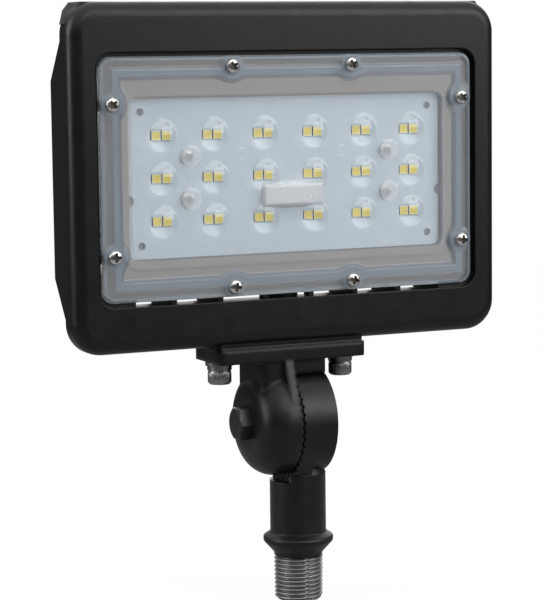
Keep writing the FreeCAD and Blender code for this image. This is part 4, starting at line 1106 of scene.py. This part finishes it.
def make_stem():
    """A copy of the lower knuckle, cut off above its plain thread."""
    mesh = nodes["lower_knuckle"].data.copy()
    mesh.name = "lower_knuckle_casting"
    work = bmesh.new()
    work.from_mesh(mesh)
    everything = work.verts[:] + work.edges[:] + work.faces[:]
    bmesh.ops.bisect_plane(
        work, geom=everything, plane_co=(0, 0, MM * STEM_CUT), plane_no=(0, 0, 1), clear_inner=True
    )
    work.to_mesh(mesh)
    work.free()
    place_piece("lower_knuckle_casting", mesh, black_casting, "lower_knuckle")


make_thread()
make_stem()

# Housing: the casting, and the ledge that runs back under its air slot

RIM_WALL = 3.0
LENS_GAP = 1.8
LEDGE_DEPTH = 8.5
LEDGE_THICK = 1.6
LEDGE_HALF = 72.0
LEDGE_BEVEL = 0.5


def make_ledge():
    """The ledge, behind the bottom of the rim's front wall."""
    front = node_box("housing")[0].y + RIM_WALL
    top = LENS_Z - LENS_HALF_Z - LENS_GAP
    outline = (
        (front, top - LEDGE_THICK),
        (front, top),
        (front + LEDGE_DEPTH - LEDGE_BEVEL, top),
        (front + LEDGE_DEPTH, top - LEDGE_BEVEL),
        (front + LEDGE_DEPTH, top - LEDGE_THICK),
    )
    shape = Shape()
    ends = [shape.loop([(LENS_X + x, y, z) for y, z in outline]) for x in (-LEDGE_HALF, LEDGE_HALF)]
    shape.stack(ends)
    shape.cap(ends[0])
    shape.cap(ends[1])
    make_piece("housing_ledge", shape, black_casting, "housing", sharp=30)


casting = nodes["housing"].data.copy()
casting.name = "housing_casting"
place_piece("housing_casting", casting, housing_finish, "housing")
make_ledge()

# Camera, lights and surroundings

IMAGE_HEIGHT = 600
FOCAL_PIXELS = 2235.5
SENSOR = 36
CAMERA_AT = Vector((-408.9, -851.1, 214.0)) * MM
CAMERA_TURN = math.radians(25.0)
CAMERA_DIP = math.radians(6.37)
CAMERA_ROLL = math.radians(0.7)


def make_camera():
    """The photograph's viewpoint, turned to the left of the lens and looking slightly down."""
    lens = bpy.data.cameras.new("camera")
    lens.sensor_width = SENSOR
    lens.lens = FOCAL_PIXELS / IMAGE_HEIGHT * SENSOR
    lens.clip_start = 0.01
    lens.clip_end = 50
    camera = bpy.data.objects.new("camera", lens)
    bpy.context.scene.collection.objects.link(camera)
    level = math.cos(CAMERA_DIP)
    ahead = (math.sin(CAMERA_TURN) * level, math.cos(CAMERA_TURN) * level)
    forward = Vector((*ahead, -math.sin(CAMERA_DIP)))
    right = Vector((math.cos(CAMERA_TURN), -math.sin(CAMERA_TURN), 0))
    down = forward.cross(right)
    right, down = (
        right * math.cos(CAMERA_ROLL) + down * math.sin(CAMERA_ROLL),
        down * math.cos(CAMERA_ROLL) - right * math.sin(CAMERA_ROLL),
    )
    turn = Matrix((right, -down, -forward)).transposed().to_4x4()
    camera.matrix_world = Matrix.Translation(CAMERA_AT) @ turn
    bpy.context.scene.camera = camera


def make_lamp(name, place, target, size, power):
    """A soft box at place, facing target."""
    light = bpy.data.lights.new(name, "AREA")
    light.shape = "RECTANGLE"
    light.size, light.size_y = size
    light.energy = power
    lamp = bpy.data.objects.new(name, light)
    bpy.context.scene.collection.objects.link(lamp)
    lamp.location = place
    lamp.rotation_mode = "QUATERNION"
    lamp.rotation_quaternion = (Vector(target) - Vector(place)).to_track_quat("-Z", "Y")


# The room's light at each height of a ray, from straight down at -1 to straight up at 1

ABOVE = {"low": 0.08, "high": 1.5, "start": 0.15, "end": 1.0}
BELOW = {"low": 0.6, "high": 0.0, "start": -0.9, "end": -0.3}
BACKDROP_CONE = (0.93, 0.98)


def make_world():
    """Soft grey room light, white to the camera and, towards the backdrop, to reflected or bent rays."""
    world = bpy.data.worlds.new("studio")
    bpy.context.scene.world = world
    world.use_nodes = True
    tree = world.node_tree
    tree.nodes.clear()
    out = tree.nodes.new("ShaderNodeOutputWorld")
    path = add(tree, "LightPath")
    way = add(tree, "TexCoord").outputs["Generated"]
    parts = add(tree, "SeparateXYZ", {0: way})
    backward = (math.sin(CAMERA_TURN), math.cos(CAMERA_TURN), 0)
    ahead = add(tree, "VectorMath", {0: way, 1: backward}, operation="DOT_PRODUCT").outputs["Value"]
    behind = spread(tree, ahead, 0.0, 1.0, *BACKDROP_CONE)
    bent = math_node(tree, "MAXIMUM", path.outputs["Is Glossy Ray"], path.outputs["Is Transmission Ray"])
    backdrop_seen = math_node(tree, "MULTIPLY", bent, behind)
    white = math_node(tree, "MAXIMUM", path.outputs["Is Camera Ray"], backdrop_seen)
    above = spread(tree, parts.outputs["Z"], **ABOVE)
    below = spread(tree, parts.outputs["Z"], **BELOW)
    level = math_node(tree, "ADD", above, below)
    room = add(tree, "Background", {"Color": (1, 1, 1, 1), "Strength": level})
    backdrop = add(tree, "Background", {"Color": (1, 1, 1, 1), "Strength": 1.0})
    mix = add(tree, "MixShader", {0: white, 1: room.outputs[0], 2: backdrop.outputs[0]})
    tree.links.new(mix.outputs[0], out.inputs["Surface"])


FLOOR_REACH = 400.0
FLOOR_DROP = 0.2
FLOOR_SHADE = 0.1
FLOOR_LIT = (0.28, 0.28, 0.28)
FLOOR_SEEN = (0.8, 0.8, 0.8)


def make_floor():
    """A round pale floor under the stem's end, near white to the camera but for a faint shadow."""
    material, tree, out = new_tree("pale_floor")
    seen = add(tree, "LightPath").outputs["Is Camera Ray"]
    matt = add(tree, "BsdfDiffuse", {"Color": blend_colours(tree, seen, FLOOR_LIT, FLOOR_SEEN)})
    glow = add(tree, "Emission", {"Color": (1, 1, 1, 1), "Strength": 1.0})
    lit = math_node(tree, "MULTIPLY", seen, 1 - FLOOR_SHADE)
    mix = add(tree, "MixShader", {0: lit, 1: matt.outputs[0], 2: glow.outputs[0]})
    tree.links.new(mix.outputs[0], out.inputs["Surface"])
    level = node_box("lower_knuckle")[0].z - FLOOR_DROP
    shape = Shape()
    shape.cap(shape.loop(circle(FLOOR_REACH, level, ROUND_COUNT)))
    mesh = new_mesh("floor", shape)
    mesh.materials.append(material)
    floor = bpy.data.objects.new("floor", mesh)
    bpy.context.scene.collection.objects.link(floor)


make_camera()
make_world()
make_floor()
make_lamp("top_box", place=(0.15, -0.95, 0.95), target=(0, 0, 0.15), size=(1.2, 0.5), power=4.6)
make_lamp("left_box", place=(-1.1, 0.12, 0.52), target=(0, 0, 0.2), size=(0.3, 0.8), power=7)
make_lamp("right_box", place=(0.70, -0.86, 0.52), target=(0, 0, 0.2), size=(0.95, 0.55), power=6.2)
make_lamp("back_box", place=(0.7, 1.1, 0.7), target=(0, 0, 0.15), size=(0.9, 0.9), power=5)

bpy.context.scene.view_settings.view_transform = "Standard"
